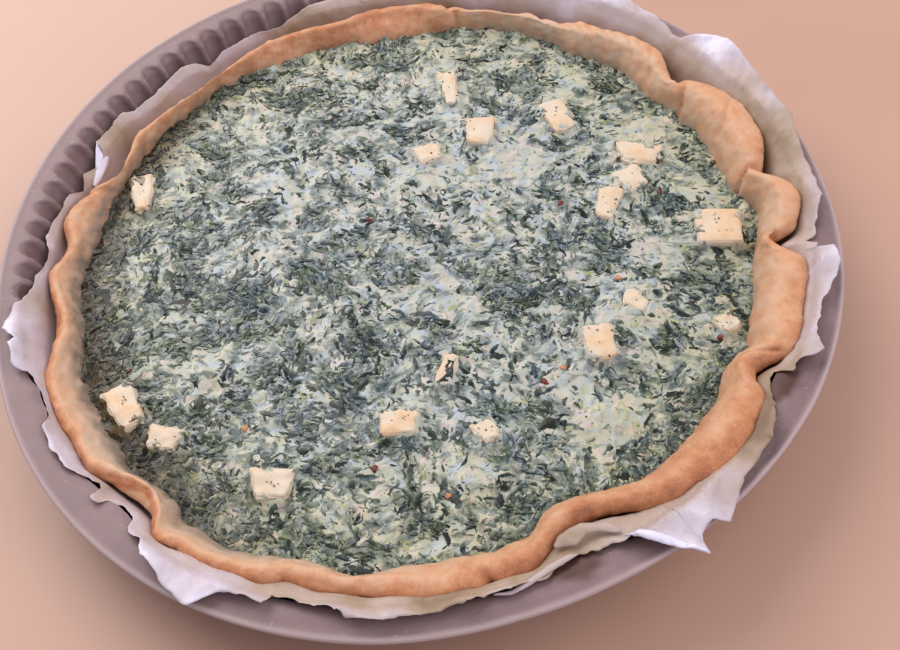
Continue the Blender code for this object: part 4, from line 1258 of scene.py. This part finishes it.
def fold_rows(count, seed):
    """Rows for lay(): bundles of long dark folds side by side, at LEAF_FOLDS and at random places."""
    x, y, chance = strewn(LOOSE_BUNDLES, seed, 1.0, 3)
    turn = np.degrees(swirl(x, y))
    bundles = [(*fold, max(4, int(fold[3] * fold[4] / 9))) for fold in LEAF_FOLDS]
    for i in range(LOOSE_BUNDLES):
        bundles.append((x[i] / MM, y[i] / MM, turn[i], chance.uniform(6, 13), chance.uniform(2, 5), 4))
    rows = []
    for fold_x, fold_y, turn, length, spread, amount in bundles:
        angle = math.radians(turn)
        for _ in range(amount):
            along = chance.uniform(-0.3, 0.3) * length
            across = chance.normal(0, 0.28) * spread
            rows.append((
                *from_spot(fold_x, fold_y, angle, along, across),
                angle + chance.normal(0, 0.25), min(length * chance.uniform(0.35, 0.8), 13) * MM,
                chance.uniform(1.2, 3.2) * MM, chance.normal(0, 0.6), chance.uniform(0.0, 0.5),
                chance.uniform(-0.1, 0.25) * MM))
    rows = np.array(rows)
    x, y = rows[:, 0], rows[:, 1]
    kept = cheese_gap(x, y)[0] > 0.6
    kept &= np.hypot(x, y) < filling_radius(bearing_of(x, y)) - 0.8 * MM
    rows = rows[kept][:count]
    loose = leaf_rows(count - len(rows), seed + 1, 0.8, length=(3, 8), width=(1.0, 2.8), tone=(0.0, 0.6),
                      lift=(-0.15, 0.12))
    return np.concatenate([rows, loose])


def cube_rows(count, seed, reach, length, width, tone, lift):
    """Rows for lay() on the cheese cubes, in mm: the reach is 0 in a cube's middle and 1 at its edge."""
    chance = np.random.default_rng(seed)
    rows = []
    for number in range(count):
        x, y, cube_length, cube_width, turn, _, _ = CHEESE[number % len(CHEESE)]
        angle = math.radians(turn)
        spot = chance.uniform(-1, 1, 2)
        spot *= chance.uniform(*reach) / max(abs(spot))
        along = spot[0] * cube_length / 2
        across = spot[1] * cube_width / 2
        rows.append((*from_spot(x, y, angle, along, across), chance.uniform(0, 6.3),
                     chance.uniform(*length) * MM, chance.uniform(*width) * MM, chance.normal(0, 0.4),
                     chance.uniform(*tone), chance.uniform(*lift) * MM))
    return rows


def make_spinach():
    leaf = leaf_material()
    rows = leaf_rows(2048, seed=11, clumping=0.97, length=(5, 16), width=(3.2, 8), tone=(-0.25, 0.5),
                     lift=(-0.55, 0.1), curl=0.35)
    lay("spinach_leaves", flake(5, 3), rows, 0.35 * MM, 0.5 * MM, leaf, 0.6)
    lay("spinach_folds", sliver(3), fold_rows(4096, 12), 0.6 * MM, 0.2 * MM, leaf, 0.4)
    rows = leaf_rows(4096, seed=13, clumping=0.8, length=(2.4, 7.5), width=(1.8, 4.2), tone=(0.0, 0.8),
                     lift=(-0.4, 0.08))
    lay("spinach_scraps", flake(3, 2), rows, 0.32 * MM, 0.28 * MM, leaf, 0.65)
    rows = leaf_rows(4096, seed=14, clumping=0.6, length=(2.8, 7.5), width=(1.5, 3.0), tone=(0.25, 0.95),
                     lift=(-0.3, 0.0), curl=0.6)
    lay("spinach_shreds", sliver(2), rows, 0.42 * MM, 0.16 * MM, leaf, 0.5)
    rows = leaf_rows(2048, seed=15, clumping=0.2, length=(1.0, 3.0), width=(0.8, 1.7), tone=(0.3, 1.0),
                     lift=(-0.2, 0.02))
    lay("spinach_bits", sliver(1), rows, 0.32 * MM, 0.08 * MM, leaf, 0.4)
    long_shreds = [(9 * MM, -53 * MM, 1.05, 13 * MM, 3.4 * MM, 0.5, -0.1, 0),
                   (8.4 * MM, -56 * MM, 0.9, 8 * MM, 3 * MM, 0.3, 0, 0)]
    crumbs = cube_rows(126, seed=32, reach=(0.8, 1.2), length=(1.2, 4.0), width=(0.8, 2.0),
                       tone=(0.25, 0.95), lift=(-0.15, 0.1))
    lay("spinach_on_cheese", flake(3, 2), np.array(long_shreds + crumbs), 0.35 * MM, 0.12 * MM, leaf, 0.3,
        topped_height)


def grain_rows(spots, length, width, lift=0.0):
    """Rows for lay() at given places in mm, each turned another way."""
    return np.array([(x * MM, y * MM, 0.9 * number, length * MM, width * MM, 0.2, 0.4, lift * MM)
                     for number, (x, y) in enumerate(spots)])


def make_garnish():
    """Leek, pepper, chilli and carrot: the small things that show in the custard."""
    rows = leaf_rows(512, seed=16, clumping=-0.1, length=(3.5, 8.5), width=(2.6, 5.2), tone=(0.1, 1.3),
                     lift=(-0.4, 0.0))
    lay("leek_strips", flake(5, 3), rows, 0.6 * MM, 0.35 * MM, leek_material(), 0.5)
    pepper = plain_grains("cracked_pepper", "#2B231F", "#4A3B31", 0.6)
    rows = leaf_rows(512, seed=17, clumping=-0.1, length=(0.5, 1.3), width=(0.5, 1.0), tone=(0.0, 1.0),
                     lift=(-0.05, 0.15))
    lay("pepper_specks", bead(), rows, 0.3 * MM, 0.02 * MM, pepper)
    chilli = plain_grains("dried_chilli", "#8A443C", "#B0645A", 0.4)
    rows = grain_rows(CHILLI_SPOTS, 3.2, 2.2, 0.1)
    lay("chilli_flakes", bead(), rows, 0.35 * MM, 0.05 * MM, chilli)
    carrot = plain_grains("diced_carrot", "#D6A27E", "#E0B795", 0.45)
    lay("carrot_dice", bead(), grain_rows(CARROT_SPOTS, 3.2, 2.4), 0.6 * MM, 0.1 * MM, carrot)


def make_toppings():
    """What sticks to the cheese cubes: smears of custard at their edges, and specks of pepper on top."""
    custard = bpy.data.materials["spinach_custard"]
    rows = cube_rows(128, seed=33, reach=(0.8, 1.2), length=(2.5, 7), width=(1.5, 3.6), tone=(0, 0),
                     lift=(-0.25, 0.1))
    lay("custard_smears", flake(5, 3), np.array(rows), 0.6 * MM, 0.25 * MM, custard, ground=topped_height)
    dark = bpy.data.materials["cooked_spinach"]
    rows = cube_rows(128, seed=31, reach=(0, 0.9), length=(0.4, 1.2), width=(0.3, 0.8), tone=(0.35, 0.95),
                     lift=(-0.08, 0.06))
    lay("cheese_specks", bead(), np.array(rows), 0.3 * MM, 0.02 * MM, dark, ground=topped_height)


# ---- Cheese ----------------------------------------------------------------------------------------
def make_cheese():
    cheese = cheese_material()
    for number, (x, y, length, width, turn, proud, taper) in enumerate(CHEESE, start=1):
        work = bmesh.new()
        bmesh.ops.create_cube(work, size=1)
        work.transform(Matrix.Diagonal((length * MM, width * MM, CHEESE_DEPTH, 1)))
        bmesh.ops.bevel(work, geom=list(work.edges), offset=1.8 * MM, segments=3, profile=0.5,
                        affect="EDGES", material=-1)
        bmesh.ops.subdivide_edges(work, edges=work.edges, cuts=5, use_grid_fill=True)
        for vertex in work.verts:
            vertex.co.x *= 1 - taper * (0.5 - vertex.co.y / (width * MM))
            vertex.co.z -= 0.12 * taper * vertex.co.x
        middle = Vector((x * MM, y * MM, SURFACE + proud * MM - CHEESE_DEPTH / 2))
        work.transform(Matrix.Translation(middle) @ Matrix.Rotation(math.radians(turn), 4, "Z"))
        bmesh.ops.recalc_face_normals(work, faces=work.faces)
        work.normal_update()
        places = np.array([vertex.co for vertex in work.verts])
        crumbly = 0.4 + 1.9 * taper
        relief = crumbly * grain(places, 5 * MM, 41 + number, 3)
        relief += 0.4 * crumbly * grain(places, 1.6 * MM, 61, 3)
        toasted = work.verts.layers.float.new("toasted")
        for vertex, rise in zip(work.verts, relief):
            vertex[toasted] = 0.07 * (proud - 1.2) * max(0, vertex.normal.z) + 0.1 * rise
            vertex.co += vertex.normal * rise * MM
        piece = finish_mesh(f"cheese_cube_{number:02d}", work, [f"cheese_{number:02d}"])
        piece.data.materials.append(cheese)


# ---- Floor, light and camera -----------------------------------------------------------------------
def make_stage():
    work = bmesh.new()
    bmesh.ops.create_grid(work, x_segments=1, y_segments=1, size=2)
    mesh = bpy.data.meshes.new("floor")
    work.to_mesh(mesh)
    work.free()
    floor = bpy.data.objects.new("floor", mesh)
    floor.location.z = -0.2 * MM
    bpy.context.scene.collection.objects.link(floor)
    mesh.materials.append(floor_material())


def add_light(name, place, size, power, colour):
    """A square soft light that aims at the middle of the mould's underside."""
    lamp = bpy.data.lights.new(name, "AREA")
    lamp.shape = "SQUARE"
    lamp.size = size
    lamp.energy = power
    lamp.color = srgb(colour)[:3]
    stand = bpy.data.objects.new(name, lamp)
    stand.location = place
    stand.rotation_euler = (-Vector(place)).to_track_quat("-Z", "Y").to_euler()
    bpy.context.scene.collection.objects.link(stand)


def make_lights():
    add_light("window", (-0.73, 1.04, 1.16), 1.5, 28, "#FFF6F0")
    add_light("room", (1.4, -0.3, 1.5), 2.0, 25, "#FFF1EA")
    world = bpy.data.worlds.new("room")
    world.use_nodes = True
    background = world.node_tree.nodes["Background"]
    background.inputs["Color"].default_value = srgb("#E0E1F0")
    background.inputs["Strength"].default_value = 0.55
    bpy.context.scene.world = world
    bpy.context.scene.view_settings.view_transform = "Standard"


def make_camera():
    lens = bpy.data.cameras.new("camera")
    lens.lens = 48
    lens.sensor_width = 36
    camera = bpy.data.objects.new("camera", lens)
    elevation = math.radians(54.53)
    roll = math.radians(-6.68)
    distance = 405.4 * MM
    target = Vector((10.72, -41.54, 32)) * MM
    away = Vector((0, -math.cos(elevation), math.sin(elevation)))
    camera.matrix_world = (Matrix.Translation(target + away * distance)
                           @ Matrix.Rotation(math.pi / 2 - elevation, 4, "X")
                           @ Matrix.Rotation(roll, 4, "Z"))
    bpy.context.scene.collection.objects.link(camera)
    bpy.context.scene.camera = camera


make_mould()
make_parchment()
make_crust()
make_custard()
make_spinach()
make_garnish()
make_toppings()
make_cheese()
make_stage()
make_lights()
make_camera()
